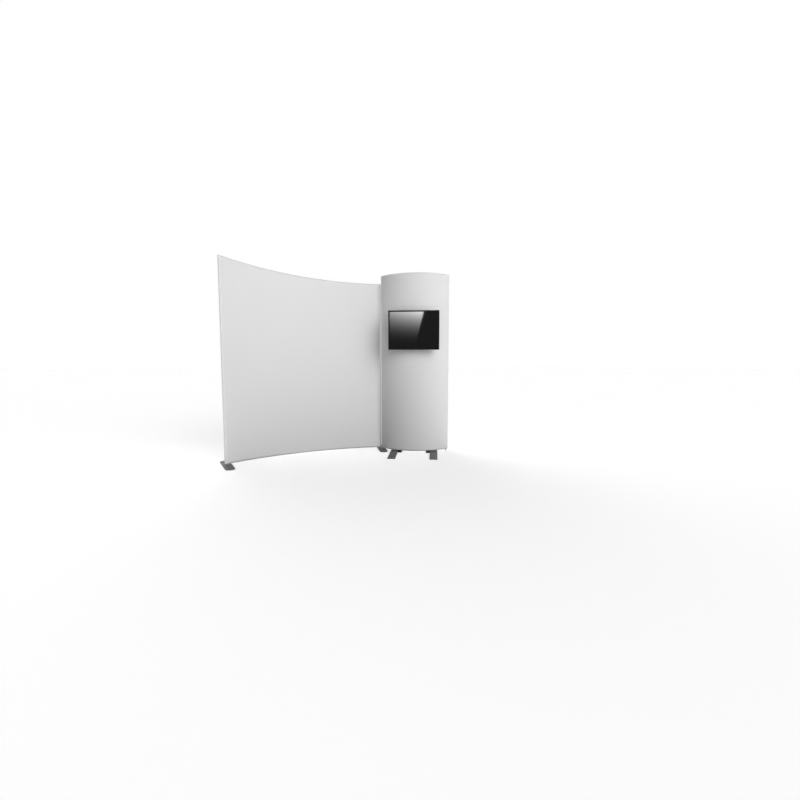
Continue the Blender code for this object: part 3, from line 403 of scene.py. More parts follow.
class Signal:
    """A number on a shader socket, for writing a pattern as a plain sum."""

    def __init__(self, graph: "ShaderGraph", socket: Socket) -> None:
        """Keep the socket and the graph that it belongs to."""
        self.graph = graph
        self.socket = socket

    def __add__(self, other: "Signal | float") -> "Signal":
        """Sum."""
        return self.graph.maths("ADD", self, other)

    __radd__ = __add__

    def __mul__(self, other: "Signal | float") -> "Signal":
        """Product."""
        return self.graph.maths("MULTIPLY", self, other)

    __rmul__ = __mul__

    def __sub__(self, other: "Signal | float") -> "Signal":
        """Difference."""
        return self.graph.maths("SUBTRACT", self, other)

    def __rsub__(self, other: float) -> "Signal":
        """Difference from a plain number."""
        return self.graph.maths("SUBTRACT", other, self)

    def __pow__(self, other: float) -> "Signal":
        """Power."""
        return self.graph.maths("POWER", self, other)

    def __abs__(self) -> "Signal":
        """Size without its sign."""
        return self.graph.maths("ABSOLUTE", self)

    def __mod__(self, other: float) -> "Signal":
        """Remainder, always from zero up."""
        return self.graph.maths("FLOORED_MODULO", self, other)

    def wave(self) -> "Signal":
        """Smooth wave from 0 to 1 with a period of one."""
        return self.graph.maths("SINE", self * (2 * math.pi)) * 0.5 + 0.5

    def above(self, level: float, blur: float) -> "Signal":
        """1 where it is over a level and 0 below, with a soft step."""
        return self.graph.maths("ADD", (self - level) * (1 / blur), 0.5, clamp=True)


class ShaderGraph:
    """The node graph of one material or of the world."""

    def __init__(self, owner: bpy.types.Material | bpy.types.World) -> None:
        """Start on the empty graph of a material or a world.

        Args:
            owner: The material or the world, whose nodes are cleared.
        """
        self.owner = owner
        owner.use_nodes = True
        self.tree = owner.node_tree
        self.tree.nodes.clear()

    def node(self, kind: str, settings: dict[str, object] | None = None,
             **sockets: object) -> bpy.types.Node:
        """Add a node.

        Args:
            kind: The node's type.
            settings: Its own options, such as an operation, set before its sockets.
            **sockets: Values or links by socket name, with _ for a space, or _ and a number
                for the socket at that place.

        Returns:
            The new node.
        """
        node = self.tree.nodes.new(kind)
        for key, value in (settings or {}).items():
            setattr(node, key, value)
        for key, value in sockets.items():
            place = int(key[1:]) if key[0] == "_" else key.replace("_", " ")
            self.feed(node.inputs[place], value)
        return node

    def feed(self, socket: Socket, value: object) -> None:
        """Link a signal or a socket to an input, or set a plain value on it.

        Args:
            socket: The input.
            value: A signal, a socket or a plain value.
        """
        if isinstance(value, Signal):
            value = value.socket
        if isinstance(value, Socket):
            self.tree.links.new(value, socket)
        else:
            socket.default_value = value

    def maths(self, operation: str, *values: "Signal | float", clamp: bool = False) -> Signal:
        """Add one Math node on numbers or signals.

        Args:
            operation: The node's operation.
            *values: Its inputs, in order.
            clamp: Whether the result is held between 0 and 1.

        Returns:
            The result.
        """
        sockets = {f"_{place}": value for place, value in enumerate(values)}
        node = self.node("ShaderNodeMath", {"operation": operation, "use_clamp": clamp},
                         **sockets)
        return Signal(self, node.outputs[0])

    def place(self, scale: Point = (1.0, 1.0, 1.0),
              layout: str = "Object") -> Socket:
        """Coordinates of a surface point, scaled.

        Args:
            scale: Factor along each axis.
            layout: The coordinates, Object or UV.

        Returns:
            The coordinates.
        """
        source = self.node("ShaderNodeTexCoord").outputs[layout]
        return self.node("ShaderNodeMapping", None, Vector=source, Scale=scale).outputs[0]

    def axes(self, layout: str = "Object") -> tuple[Signal, Signal, Signal]:
        """The three coordinates as signals."""
        split = self.node("ShaderNodeSeparateXYZ", None, Vector=self.place(layout=layout))
        return tuple(Signal(self, socket) for socket in split.outputs)

    def noise(self, scale: float, detail: float = 2.0,
              stretch: Point = (1.0, 1.0, 1.0)) -> Signal:
        """Soft random pattern, about 0 to 1.

        Args:
            scale: Fineness, in lumps for each metre.
            detail: Finer layers in it.
            stretch: Factor along each axis, under 1 where lumps are long.

        Returns:
            The pattern.
        """
        node = self.node("ShaderNodeTexNoise", None, Vector=self.place(stretch), Scale=scale,
                         Detail=detail)
        return Signal(self, node.outputs[0])

    def mix(self, share: Signal | float, first: object, second: object) -> Socket:
        """Blend two colours.

        Args:
            share: 0 for the first colour and 1 for the second.
            first: A colour or a socket.
            second: A colour or a socket.

        Returns:
            The blend.
        """
        colours = [(*value, 1.0) if isinstance(value, tuple) else value
                   for value in (first, second)]
        node = self.node("ShaderNodeMix", {"data_type": "RGBA"}, _0=share, _6=colours[0],
                         _7=colours[1])
        return node.outputs[2]

    def bump(self, height: Signal, depth: float) -> Socket:
        """Normal of a surface whose relief is this deep, in metres."""
        node = self.node("ShaderNodeBump", None, Height=height, Distance=depth, Strength=1.0)
        return node.outputs[0]

    def close(self, shader: Socket) -> bpy.types.Material:
        """Put a shader on the material's output."""
        self.node("ShaderNodeOutputMaterial", None, Surface=shader)
        return self.owner


def darker(colour: Colour, share: float) -> Colour:
    """A colour with a share of its light taken away."""
    return tuple(value * (1 - share) for value in colour)


@dataclass(frozen=True)
class Finish:
    """A surface with drifting colour and gloss and a fine grain."""

    colour: Colour
    roughness: float
    metallic: float = 0.0
    specular: float = 0.5
    drift: float = 0.08
    drift_scale: float = 9.0
    gloss_drift: float = 0.10
    grain_scale: float = 900.0
    grain_depth: float = 0.00004
    stretch: Point = (1.0, 1.0, 1.0)

    def relief(self, graph: ShaderGraph) -> Signal:
        """Height of the grain, 0 to 1."""
        return graph.noise(self.grain_scale, 3.0, self.stretch)

    def tint(self, graph: ShaderGraph, relief: Signal) -> object:
        """Colour, a little darker in patches."""
        patches = graph.noise(self.drift_scale, 4.0)
        return graph.mix(patches, self.colour, darker(self.colour, self.drift))

    def gloss(self, graph: ShaderGraph, relief: Signal) -> Signal:
        """Roughness, drifting about its mean."""
        return self.roughness + self.gloss_drift * (graph.noise(self.drift_scale * 3) - 0.5)

    def make(self, name: str) -> bpy.types.Material:
        """Build the material.

        Args:
            name: The material's name.

        Returns:
            The material.
        """
        graph = ShaderGraph(bpy.data.materials.new(name))
        relief = self.relief(graph)
        shader = graph.node("ShaderNodeBsdfPrincipled", None,
                            Base_Color=self.tint(graph, relief),
                            Roughness=self.gloss(graph, relief), Metallic=self.metallic,
                            Specular_IOR_Level=self.specular,
                            Normal=graph.bump(relief, self.grain_depth))
        return graph.close(shader.outputs[0])


@dataclass(frozen=True)
class Knit(Finish):
    """Warp-knit stretch polyester: upright columns of small V-shaped loops, on a UV in metres."""

    wale: float = 0.0009
    course: float = 0.0007
    lean_share: float = 0.6
    # Share of the colour taken away as painted shade in the gaps between loops.
    gap_shade: float = 0.05

    def relief(self, graph: ShaderGraph) -> Signal:
        """Loops that lean to both sides of each column.

        Args:
            graph: The material's nodes.

        Returns:
            The height, 0 to 1.
        """
        across, along, _ = graph.axes("UV")
        column = across * (1 / self.wale)
        lean = abs(column % 1.0 - 0.5)
        loops = (along * (1 / self.course) + lean).wave()
        return (1 - abs(lean * 2 - 0.5)) * self.lean_share + loops * (1 - self.lean_share)

    def tint(self, graph: ShaderGraph, relief: Signal) -> object:
        """White with painted shade in the gaps between loops, and a trace greyer in broad
        patches.

        Args:
            graph: The material's nodes.
            relief: Height of the loops.

        Returns:
            The colour.
        """
        # Painted shade: the colour darkens where the loops' relief is low, in the gaps between
        # them.
        gaps = graph.mix(relief, darker(self.colour, self.gap_shade), self.colour)
        patches = graph.noise(self.drift_scale, 3.0)
        tint = graph.mix(patches, (1.0, 1.0, 1.0), (1 - self.drift,) * 3)
        node = graph.node("ShaderNodeMix", {"data_type": "RGBA", "blend_type": "MULTIPLY"},
                          _0=1.0, _6=gaps, _7=tint)
        return node.outputs[2]


@dataclass(frozen=True)
class Woven(Finish):
    """Plain-woven tape: yarns over and under each other, on a UV in metres."""

    yarn: float = 0.0006

    def relief(self, graph: ShaderGraph) -> Signal:
        """Crossing yarns."""
        across, along, _ = graph.axes("UV")
        return (across * (1 / self.yarn)).wave() * (along * (1 / self.yarn)).wave()


@dataclass(frozen=True)
class Worn(Finish):
    """Coated or cast metal with small rubbed marks where it shows lighter."""

    worn_colour: Colour = (0.35, 0.35, 0.36)
    worn_share: float = 0.66
    worn_blur: float = 0.05
    worn_strength: float = 0.5
    rub_scale: float = 60.0
    rub_stretch: Point = (1.0, 1.0, 0.2)

    def tint(self, graph: ShaderGraph, relief: Signal) -> object:
        """Coating with a few light rubs along its length."""
        rubs = graph.noise(self.rub_scale, 5.0, self.rub_stretch)
        share = rubs.above(self.worn_share, self.worn_blur) * self.worn_strength
        return graph.mix(share, super().tint(graph, relief), self.worn_colour)


@dataclass(frozen=True)
class Circuit(Finish):
    """Circuit board lacquer over copper tracks, with a dark gap between them."""

    track: Colour = (0.05, 0.22, 0.10)
    tracks_across: float = 220.0
    tracks_up: float = 140.0
    wander_scale: float = 30.0
    gap_level: float = 0.4

    def tint(self, graph: ShaderGraph, relief: Signal) -> object:
        """Tracks that run in both directions.

        Args:
            graph: The material's nodes.
            relief: Height of the grain; not used.

        Returns:
            The colour.
        """
        across, _, high = graph.axes()
        wander = graph.noise(self.wander_scale) * 2
        lines = (across * self.tracks_across + wander).wave() * (high * self.tracks_up).wave()
        return graph.mix(lines.above(self.gap_level, 0.1), self.colour, self.track)


@dataclass(frozen=True)
class Pane(Finish):
    """Coated glass over a dark panel, with a trace of smears that dull its gloss."""

    smear_scale: float = 14.0
    smear_stretch: Point = (1.0, 1.0, 0.4)
    smear_level: float = 0.55
    smear_blur: float = 0.4

    def gloss(self, graph: ShaderGraph, relief: Signal) -> Signal:
        """Nearly polished, duller in long smears."""
        smears = graph.noise(self.smear_scale, 4.0, self.smear_stretch)
        return self.roughness + self.gloss_drift * smears.above(self.smear_level, self.smear_blur)


class Surface(Enum):
    """The finishes of the object, each with the record's slot that it belongs to."""

    FABRIC = ("white_fabric", Knit((0.77, 0.77, 0.77), 0.85, specular=0.0, drift=0.015,
                                   drift_scale=1.6, grain_depth=0.00008))
    THREAD = ("white_fabric", Finish((0.74, 0.74, 0.74), 0.7, specular=0.0,
                                     grain_scale=2500.0))
    TAPE = ("zip_tape", Woven((0.74, 0.74, 0.74), 0.85, specular=0.0, grain_depth=0.0001))
    TEETH = ("zip_tape", Finish((0.74, 0.74, 0.74), 0.4, grain_scale=1500.0,
                                grain_depth=0.00001))
    SLIDER = ("zip_metal", Worn((0.42, 0.42, 0.43), 0.32, 1.0, grain_scale=2000.0,
                                grain_depth=0.00001, worn_colour=(0.7, 0.7, 0.7)))
    TUBE = ("tube_aluminium", Finish((0.62, 0.63, 0.64), 0.32, 1.0, grain_scale=500.0,
                                     grain_depth=0.00002, stretch=(1.0, 1.0, 0.02)))
    CAST = ("cast_connector", Worn((0.30, 0.31, 0.32), 0.5, 0.8, grain_scale=700.0,
                                   grain_depth=0.00010))
    FOOT = ("foot_grey", Worn((0.105, 0.105, 0.108), 0.42, 0.0, specular=0.35,
                              grain_scale=1400.0, grain_depth=0.00004,
                              worn_colour=(0.2, 0.2, 0.205), worn_share=0.72))
    PLASTIC = ("black_plastic", Finish((0.012, 0.012, 0.013), 0.5, specular=0.15,
                                       grain_scale=1100.0, grain_depth=0.00005))
    STEEL = ("black_steel", Worn((0.016, 0.016, 0.017), 0.42, specular=0.3,
                                 grain_scale=1600.0, worn_colour=(0.08, 0.08, 0.08),
                                 worn_share=0.74))
    BEZEL = ("screen_black", Finish((0.004, 0.004, 0.0043), 0.42, specular=0.05,
                                    grain_scale=1800.0, grain_depth=0.00002))
    GLASS = ("screen_glass", Pane((0.0026, 0.0026, 0.0028), 0.02, specular=0.12,
                                  gloss_drift=0.03, grain_depth=0.0, drift=0.3,
                                  drift_scale=2.0))
    PANEL = ("display_panel", Finish((0.05, 0.05, 0.055), 0.6))
    BOARD = ("board_green", Circuit((0.015, 0.10, 0.04), 0.4))
    SPRING = ("spring_steel", Finish((0.50, 0.50, 0.52), 0.28, 1.0, grain_scale=900.0,
                                     grain_depth=0.00001, stretch=(1.0, 1.0, 0.1)))

    @functools.cache
    def material(self) -> bpy.types.Material:
        """The finish's one material."""
        return self.value[1].make(f"{self.name.lower()}_finish")

    def dress(self, piece: Piece, body: str, *nodes: str) -> Piece:
        """Finish a new piece, let it ride on its body and stand for its solids.

        Args:
            piece: The piece, in place.
            body: The body that it moves with.
            *nodes: The solids that it is shown instead of.

        Returns:
            The same piece.
        """
        piece.data.materials.clear()
        piece.data.materials.append(self.material())
        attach(piece, body)
        if nodes:
            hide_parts(*nodes)
        LOG.info("%s: %d faces on %s", piece.name, len(piece.data.polygons), body)
        return piece

    def coat(self, *nodes: str) -> None:
        """Finish solids that stay as they are.

        Args:
            *nodes: The solids.
        """
        for name in nodes:
            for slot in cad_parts[name].material_slots:
                slot.material = self.material()
            LOG.info("%s: solid kept", name)


@dataclass(frozen=True)
class PhotoCamera:
    """Camera at the photograph's place, height and lens."""

    place: Point = (-2.2036, -5.1813, 1.2564)
    heading: Pair = (0.50056, 0.86570)
    pitch_down: float = 0.0869412
    lens_mm: float = 19.534
    sensor_mm: float = 36.0
    sees_to: float = 200.0

    def build(self) -> None:
        """Set up the camera and make it the scene's."""
        data = bpy.data.cameras.new("photo_camera")
        data.lens = self.lens_mm
        data.sensor_width = self.sensor_mm
        data.clip_end = self.sees_to
        camera = bpy.data.objects.new("photo_camera", data)
        level = math.cos(self.pitch_down)
        look = Vector((self.heading[0] * level, self.heading[1] * level,
                       -math.sin(self.pitch_down)))
        camera.location = self.place
        camera.rotation_euler = look.to_track_quat("-Z", "Y").to_euler()
        bpy.context.scene.collection.objects.link(camera)
        bpy.context.scene.camera = camera


@dataclass(frozen=True)
class Lobe:
    """Soft light from one side of the dome.

    heading turns from the viewer's side towards the right, height up from the horizon, and
    focus narrows it.
    """

    heading: float
    height: float
    strength: float
    focus: float

    def light(self, graph: ShaderGraph, ray: Socket) -> Signal:
        """Brightness of the dome along a ray.

        Args:
            graph: The world's nodes.
            ray: The ray's direction.

        Returns:
            The brightness.
        """
        level = math.cos(self.height)
        aim = (math.sin(self.heading) * level, -math.cos(self.heading) * level,
               math.sin(self.height))
        node = graph.node("ShaderNodeVectorMath", {"operation": "DOT_PRODUCT"}, _0=ray, _1=aim)
        facing = graph.maths("MAXIMUM", Signal(graph, node.outputs["Value"]), 0.0)
        return facing ** self.focus * self.strength


@dataclass(frozen=True)
class Studio:
    """Pale floor under a soft dome of light, stronger from the viewer's side and from behind."""

    floor_half: float = 80.0
    dome_level: float = 0.02
    key: Lobe = Lobe(math.radians(3.0), math.radians(22.0), 5.8, 13.0)
    back: Lobe = Lobe(math.radians(178.0), math.radians(25.0), 3.6, 8.0)
    floor_colour: float = 0.85
    floor_dull: float = 0.75
    floor_drift: float = 0.01
    floor_drift_scale: float = 0.8
    floor_own_light: float = 0.46
    bounce_near: float = 0.03
    bounce_far: float = 0.90
    glow_far: float = 0.36
    near_half: float = 1.524
    near_middle: float = -0.948
    near_blur: float = 0.1

    def world(self) -> None:
        """Light the scene from all round; the camera, metal and glass see plain white."""
        world = bpy.data.worlds.new("studio_dome")
        bpy.context.scene.world = world
        graph = ShaderGraph(world)
        ray = graph.node("ShaderNodeTexCoord").outputs["Generated"]
        light = self.dome_level + self.key.light(graph, ray) + self.back.light(graph, ray)
        seen = self.seen(graph)
        shader = graph.node("ShaderNodeBackground", None, Color=PLAIN_WHITE,
                            Strength=seen + (1 - seen) * light)
        graph.node("ShaderNodeOutputWorld", None, Surface=shader.outputs[0])

    @staticmethod
    def seen(graph: ShaderGraph) -> Signal:
        """1 for the camera's rays and those that metal and glass send on.

        Args:
            graph: The nodes of the world or of a material.

        Returns:
            The mask, 1 or 0.
        """
        path = graph.node("ShaderNodeLightPath").outputs
        kinds = [Signal(graph, path[name]) for name in
                 ("Is Camera Ray", "Is Glossy Ray", "Is Transmission Ray")]
        return graph.maths("MAXIMUM", graph.maths("MAXIMUM", kinds[0], kinds[1]), kinds[2])

    def floor(self) -> None:
        """Lay a matt pale floor that keeps the object's soft shadow.

        It sends little light back up where the stand's own dark floor would lie.
        """
        bpy.ops.object.select_all(action="DESELECT")
        bpy.ops.mesh.primitive_plane_add(size=2 * self.floor_half)
        floor = Bench.settle("studio_floor")
        graph = ShaderGraph(bpy.data.materials.new("floor_matt"))
        drift = graph.noise(self.floor_drift_scale) * self.floor_drift
        pale = graph.mix(drift, (self.floor_colour,) * 3, (self.floor_dull,) * 3)
        matt = graph.node("ShaderNodeBsdfDiffuse", None, Color=pale)
        own = graph.node("ShaderNodeEmission", None, Color=PLAIN_WHITE,
                         Strength=self.floor_own_light)
        look = graph.node("ShaderNodeAddShader", None, _0=matt.outputs[0], _1=own.outputs[0])
        across, along, _ = graph.axes()
        reach = graph.maths("MAXIMUM", abs(across), abs(along - self.near_middle))
        far = reach.above(self.near_half, self.near_blur)
        bounce = graph.mix(far, (self.bounce_near,) * 3, (self.bounce_far,) * 3)
        back = graph.node("ShaderNodeBsdfDiffuse", None, Color=bounce)
        glow = graph.node("ShaderNodeEmission", None, Color=PLAIN_WHITE,
                          Strength=far * self.glow_far)
        sent = graph.node("ShaderNodeAddShader", None, _0=back.outputs[0], _1=glow.outputs[0])
        mixed = graph.node("ShaderNodeMixShader", None, _0=self.seen(graph),
                           _1=sent.outputs[0], _2=look.outputs[0])
        floor.data.materials.append(graph.close(mixed.outputs[0]))

    def build(self) -> None:
        """Set up the light and the floor."""
        bpy.context.scene.view_settings.view_transform = "Standard"
        self.world()
        self.floor()


@dataclass(frozen=True)
class Bow:
    """The arc that a panel's tubes follow, seen from above.

    side is +1 where the viewer stands inside the arc and -1 where outside it. rise is the top
    edge's climb from its low point, which lies at low_share of the length, to the left end.
    """

    centre: Pair
    turn: float
    side: int
    radius: float
    left: float
    right: float
    low_top: float
    rise: float = 0.0
    low_share: float = 1.0
    bends: int = 12
    bottom_axis: float = 0.0446
    skin_radius: float = 0.0266

    @property
    def to_row(self) -> Matrix:
        """Place of the arc's own coordinates in the row."""
        return Matrix.Translation((*self.centre, 0.0)) @ Matrix.Rotation(self.turn, 4, "Z")

    @property
    def length(self) -> float:
        """Length of the tubes' centre line."""
        return self.radius * (self.right - self.left)

    @property
    def sagitta(self) -> float:
        """How far the real tube's straight lengths stand inside the smooth arc."""
        half_bend = (self.right - self.left) / self.bends / 2
        return self.radius * (1 - math.cos(half_bend))

    def angle(self, distance: float) -> float:
        """Angle of a place on the arc, from its distance along it."""
        return self.left + distance / self.radius

    def outward(self, angle: float) -> Vector:
        """Direction away from the arc's centre."""
        return Vector((math.sin(angle), self.side * math.cos(angle), 0.0))

    def forward(self, angle: float) -> Vector:
        """Direction towards the viewer's side."""
        return self.outward(angle) * -self.side

    def along(self, angle: float) -> Vector:
        """Direction along the tubes, to the right."""
        return Vector((math.cos(angle), -self.side * math.sin(angle), 0.0))

    def slope(self, share: float) -> float:
        """Climb of the top edge for each metre along the arc."""
        return 2 * self.rise * (share - self.low_share) / (self.low_share ** 2 * self.length)

    def steepness(self, share: float) -> float:
        """Upright size of the skin's radius where the top edge climbs."""
        return math.hypot(1.0, self.slope(share))

    def top_axis(self, share: float) -> float:
        """Height of the top tube's centre line."""
        climb = self.rise * ((share - self.low_share) / self.low_share) ** 2
        return self.low_top + climb - self.skin_radius * self.steepness(share)


WALL = Bow((-0.3456, -2.5607), 0.0, 1, 3.1466, math.radians(-20.0), math.radians(19.1),
           2.3585, 0.1477, 0.955)
COLUMN = Bow((1.312354, 0.418252), math.radians(-34.5), -1, 0.6094, math.radians(-47.8),
             math.radians(47.8), 2.465)


@dataclass(frozen=True)
class Station:
    """One upright line of a cover's grid."""

    distance: float
    beyond: float
    swell: float
    across: float


@dataclass(frozen=True)
class Row:
    """One level line of a cover's grid."""

    level: float
    rise: float
    swell: float
    height: float


def place_at(spot: Vector, across: Vector, along: Vector, out: Vector) -> Matrix:
    """Place whose X, Y and Z point in given directions.

    Args:
        spot: Where its origin lies.
        across: Direction of X.
        along: Direction of Y.
        out: Direction of Z.

    Returns:
        The place.
    """
    place = Matrix((across, along, out)).transposed().to_4x4()
    place.translation = spot
    return place


@dataclass(frozen=True)
class Stitch:
    """Thread stitches in a line, each lying along X on z 0."""

    length: float = 0.0030
    width: float = 0.0006
    height: float = 0.0004
    pitch: float = 0.0042

    def marks(self, run: float, margin: float) -> list[float]:
        """Distances of the stitches along a run, clear of both its ends."""
        count = int((run - 2 * margin) / self.pitch)
        return [margin + self.pitch * number for number in range(count)]

    def shares(self, run: float) -> list[float]:
        """Even shares of a run, about a pitch apart."""
        count = round(run / self.pitch)
        return [number / count for number in range(count + 1)]

    def sew(self, name: str, places: list[Matrix], to_row: Matrix) -> Piece:
        """Sew one stitch at each place.

        Args:
            name: Name of the whole line.
            places: Where the stitches lie.
            to_row: From the places' coordinates to the row's.

        Returns:
            The line of stitches.
        """
        bpy.ops.object.select_all(action="DESELECT")
        bpy.ops.mesh.primitive_ico_sphere_add(subdivisions=1, radius=0.5)
        bpy.context.object.scale = (self.length, self.width, self.height)
        piece = Bench.repeat(name, Bench.settle("stitch"), places)
        return Surface.THREAD.dress(Bench.put(piece, to_row, math.pi, level=False), "frame")


SEAM_STITCH = Stitch()
EDGE_STITCH = Stitch(0.0026, 0.0013, 0.0007, 0.0016)


@dataclass
class StretchCover:
    """Pillowcase of stretch knit drawn over a panel's tubes, seamed at both ends and the top."""

    name: str
    bow: Bow
    slits: list[tuple[Point, Point]]
    zip_slot: tuple[Matrix, Point, Point] | None = None
    thickness: float = 0.001
    near_marks: tuple[float, ...] = (0.0, 0.005, 0.011, 0.017, 0.023, 0.030, 0.038, 0.047,
                                     0.058, 0.075)
    span_step: float = 0.028
    row_step: float = 0.050
    fold_steps: int = 8
    hem_steps: int = 6
    hem_fold: float = math.radians(22.5)
    hem_degrees: tuple[float, ...] = (32.0, 40.0, 48.0, 56.0, 64.0)
    hem_lift: float = 0.0002
    hem_thickness: float = 0.0007
    hem_swell: float = 1.008
    seam_depth: float = 0.0009
    seam_half_angle: float = math.radians(3.0)
    hollow_depth: float = 0.0012
    level_hollow: float = 0.35
    hollow_start: float = 0.004
    hollow_end: float = 0.058
    pull_start: float = 0.02
    pull_folds: float = 14.0
    pull_reach: float = 0.22
    pull_full: float = 0.1
    pull_depth: float = 0.00022
    stitch_fold: float = math.radians(60.0)
    stitch_lift: float = 0.0009
    stitch_margin: float = 0.02
    slit_edge: float = 0.0012
    slit_lift: float = 0.0001

    def graded(self, length: float, step: float) -> list[float]:
        """Distances from 0 to a length, closer together near both ends.

        Args:
            length: The length to cover.
            step: The usual distance between two marks.

        Returns:
            The distances, rising.
        """
        near = self.near_marks
        count = max(2, round((length - 2 * near[-1]) / step))
        room = (length - 2 * near[-1]) / count
        middle = [near[-1] + room * number for number in range(1, count)]
        return [*near, *middle, *(length - mark for mark in reversed(near))]

    def folds(self) -> list[float]:
        """Angles from a seam to a tube's crown, without the crown."""
        return [0.0, self.seam_half_angle,
                *(QUARTER * step / self.fold_steps for step in range(1, self.fold_steps))]

    def groove(self, fold: float) -> float:
        """Reach of the skin at an angle from a seam, drawn in at the seam itself."""
        return self.bow.skin_radius * math.cos(fold) - (0.0 if fold else self.seam_depth)

    def stations(self) -> list[Station]:
        """Upright lines of the grid.

        Returns:
            The lines, from the left seam to the right one.
        """
        radius = self.bow.skin_radius
        length = self.bow.length
        left = [Station(0.0, -self.groove(fold), math.sin(fold),
                        radius * (fold - QUARTER)) for fold in self.folds()]
        inner = [Station(mark, 0.0, 1.0, mark) for mark in self.graded(length, self.span_step)]
        right = [Station(length, self.groove(fold), math.sin(fold),
                         length + radius * (QUARTER - fold))
                 for fold in reversed(self.folds())]
        return left + inner + right

    def rows(self) -> list[Row]:
        """Level lines of the grid.

        Returns:
            The lines, from the hem to the top seam.
        """
        radius = self.bow.skin_radius
        height = self.bow.low_top - self.bow.bottom_axis
        turns = [self.hem_fold + (QUARTER - self.hem_fold) * step / self.hem_steps
                 for step in range(self.hem_steps)]
        bottom = [Row(0.0, -radius * math.cos(fold), math.sin(fold), radius * (fold - QUARTER))
                  for fold in turns]
        middle = [Row(mark / height, 0.0, 1.0, mark)
                  for mark in self.graded(height, self.row_step)]
        top = [Row(1.0, self.groove(fold), math.sin(fold), height + radius * (QUARTER - fold))
               for fold in reversed(self.folds())]
        return bottom + middle + top

    def hollow(self, reach: float) -> float:
        """How far the skin falls in beside a tube, at a reach from its centre line."""
        share = (reach - self.hollow_start) / (self.hollow_end - self.hollow_start)
        return math.sin(math.pi * min(max(share, 0.0), 1.0)) ** 2 * self.hollow_depth

    def pull(self, distance: float, drop: float) -> float:
        """Faint pull lines that fan out of the two top corners.

        Args:
            distance: Distance along the arc.
            drop: Depth under the top tube.

        Returns:
            How far the skin stands proud there.
        """
        total = 0.0
        for reach in (distance, self.bow.length - distance):
            away = math.hypot(reach, drop)
            if away > self.pull_start:
                fan = math.sin(self.pull_folds * math.atan2(drop, reach))
                total += fan * math.exp(-away / self.pull_reach) * min(1.0, away / self.pull_full)
        return total * self.pull_depth

    def skin(self, station: Station, row: Row, face: Face) -> Vector:
        """Point of one skin.

        Args:
            station: The upright line that it lies on.
            row: The level line that it lies on.
            face: The front or the back skin.

        Returns:
            The point, in the arc's own coordinates.
        """
        bow = self.bow
        share = min(max(station.distance / bow.length, 0.0), 1.0)
        angle = bow.angle(station.distance)
        top = bow.top_axis(share) + bow.slope(share) * station.beyond
        steep = bow.steepness(share) if row.rise > 0 else 1.0
        z = bow.bottom_axis + row.level * (top - bow.bottom_axis) + row.rise * steep
        reach = min(station.distance, bow.length - station.distance)
        depth = bow.skin_radius * min(station.swell, row.swell)
        if station.swell == 1.0 and row.swell == 1.0:
            level = max(self.hollow(top - z), self.hollow(z - bow.bottom_axis))
            depth -= max(self.hollow(reach), level * self.level_hollow)
            depth += self.pull(station.distance, top - z)
        if face.value == bow.side:
            fade = min(reach / (bow.length / bow.bends / 2), 1.0)
            depth += bow.sagitta * fade * fade * (3 - 2 * fade) * row.swell
        point = bow.outward(angle) * bow.radius + bow.along(angle) * station.beyond
        point += bow.forward(angle) * (depth * face.value)
        point.z = z
        return point

    def sheet(self, name: str, rows: list[Row], stations: list[Station]) -> Piece:
        """Curved grid of both skins, joined where they meet, with a UV in metres.

        Args:
            name: The piece's name.
            rows: Its level lines.
            stations: Its upright lines.

        Returns:
            The sheet, without thickness.
        """
        work = bmesh.new()
        layer = work.loops.layers.uv.new("fabric")
        for face in Face:
            lines = [[self.skin(station, row, face) for row in rows] for station in stations]
            spots = [[(station.across * face.value, row.height) for row in rows]
                     for station in stations]
            Bench.net(work, layer, lines, spots, face is Face.BACK)
        bmesh.ops.remove_doubles(work, verts=work.verts, dist=MERGE)
        return Bench.keep(name, work)

    def cover(self) -> Piece:
        """The fabric itself, with its slits and its zip's opening cut.

        Returns:
            The dressed cover.
        """
        piece = self.sheet(f"{self.name}_fabric", self.rows(), self.stations())
        Bench.modify(piece, "SOLIDIFY", thickness=self.thickness, offset=-1.0)
        for low, high in self.slits:
            Bench.cut(piece, Bench.block("slit", low, high))
        if self.zip_slot:
            place, low, high = self.zip_slot
            cutter = Bench.block("slot", low, high)
            cutter.data.transform(place)
            Bench.cut(piece, cutter)
        Bench.put(piece, self.bow.to_row, level=False)
        return Surface.FABRIC.dress(piece, "frame", self.name)

    def hem(self) -> Piece:
        """Doubled band round the bottom opening.

        Returns:
            The dressed band.
        """
        radius = self.bow.skin_radius + self.hem_lift
        rows = [Row(0.0, -radius * math.cos(fold), math.sin(fold) * self.hem_swell, radius * fold)
                for fold in map(math.radians, self.hem_degrees)]
        piece = self.sheet(f"{self.name}_hem", rows, self.stations())
        Bench.modify(piece, "SOLIDIFY", thickness=self.hem_thickness, offset=1.0,
                     use_even_offset=True)
        return Surface.FABRIC.dress(Bench.put(piece, self.bow.to_row, level=False), "frame")

    def on_hem(self, distance: float, face: Face) -> Matrix:
        """Place of a stitch on the rounded hem: X along the tube, Z out of the fabric.

        Args:
            distance: Distance along the arc.
            face: The front or the back skin.

        Returns:
            The place, in the arc's own coordinates.
        """
        angle = self.bow.angle(distance)
        forward = self.bow.forward(angle)
        along = self.bow.along(angle)
        out = (forward * (math.sin(self.stitch_fold) * face.value)
               - UP * math.cos(self.stitch_fold))
        axis = self.bow.outward(angle) * self.bow.radius
        axis.z = self.bow.bottom_axis
        if face.value == self.bow.side:
            axis += forward * (self.bow.sagitta * face.value)
        spot = axis + out * (self.bow.skin_radius + self.stitch_lift)
        return place_at(spot, along, out.cross(along), out)

    def hem_stitches(self) -> Piece:
        """Line of stitches along the hem, front and back."""
        places = [self.on_hem(mark, face) for face in Face
                  for mark in SEAM_STITCH.marks(self.bow.length, self.stitch_margin)]
        return SEAM_STITCH.sew(f"{self.name}_hem_stitches", places, self.bow.to_row)

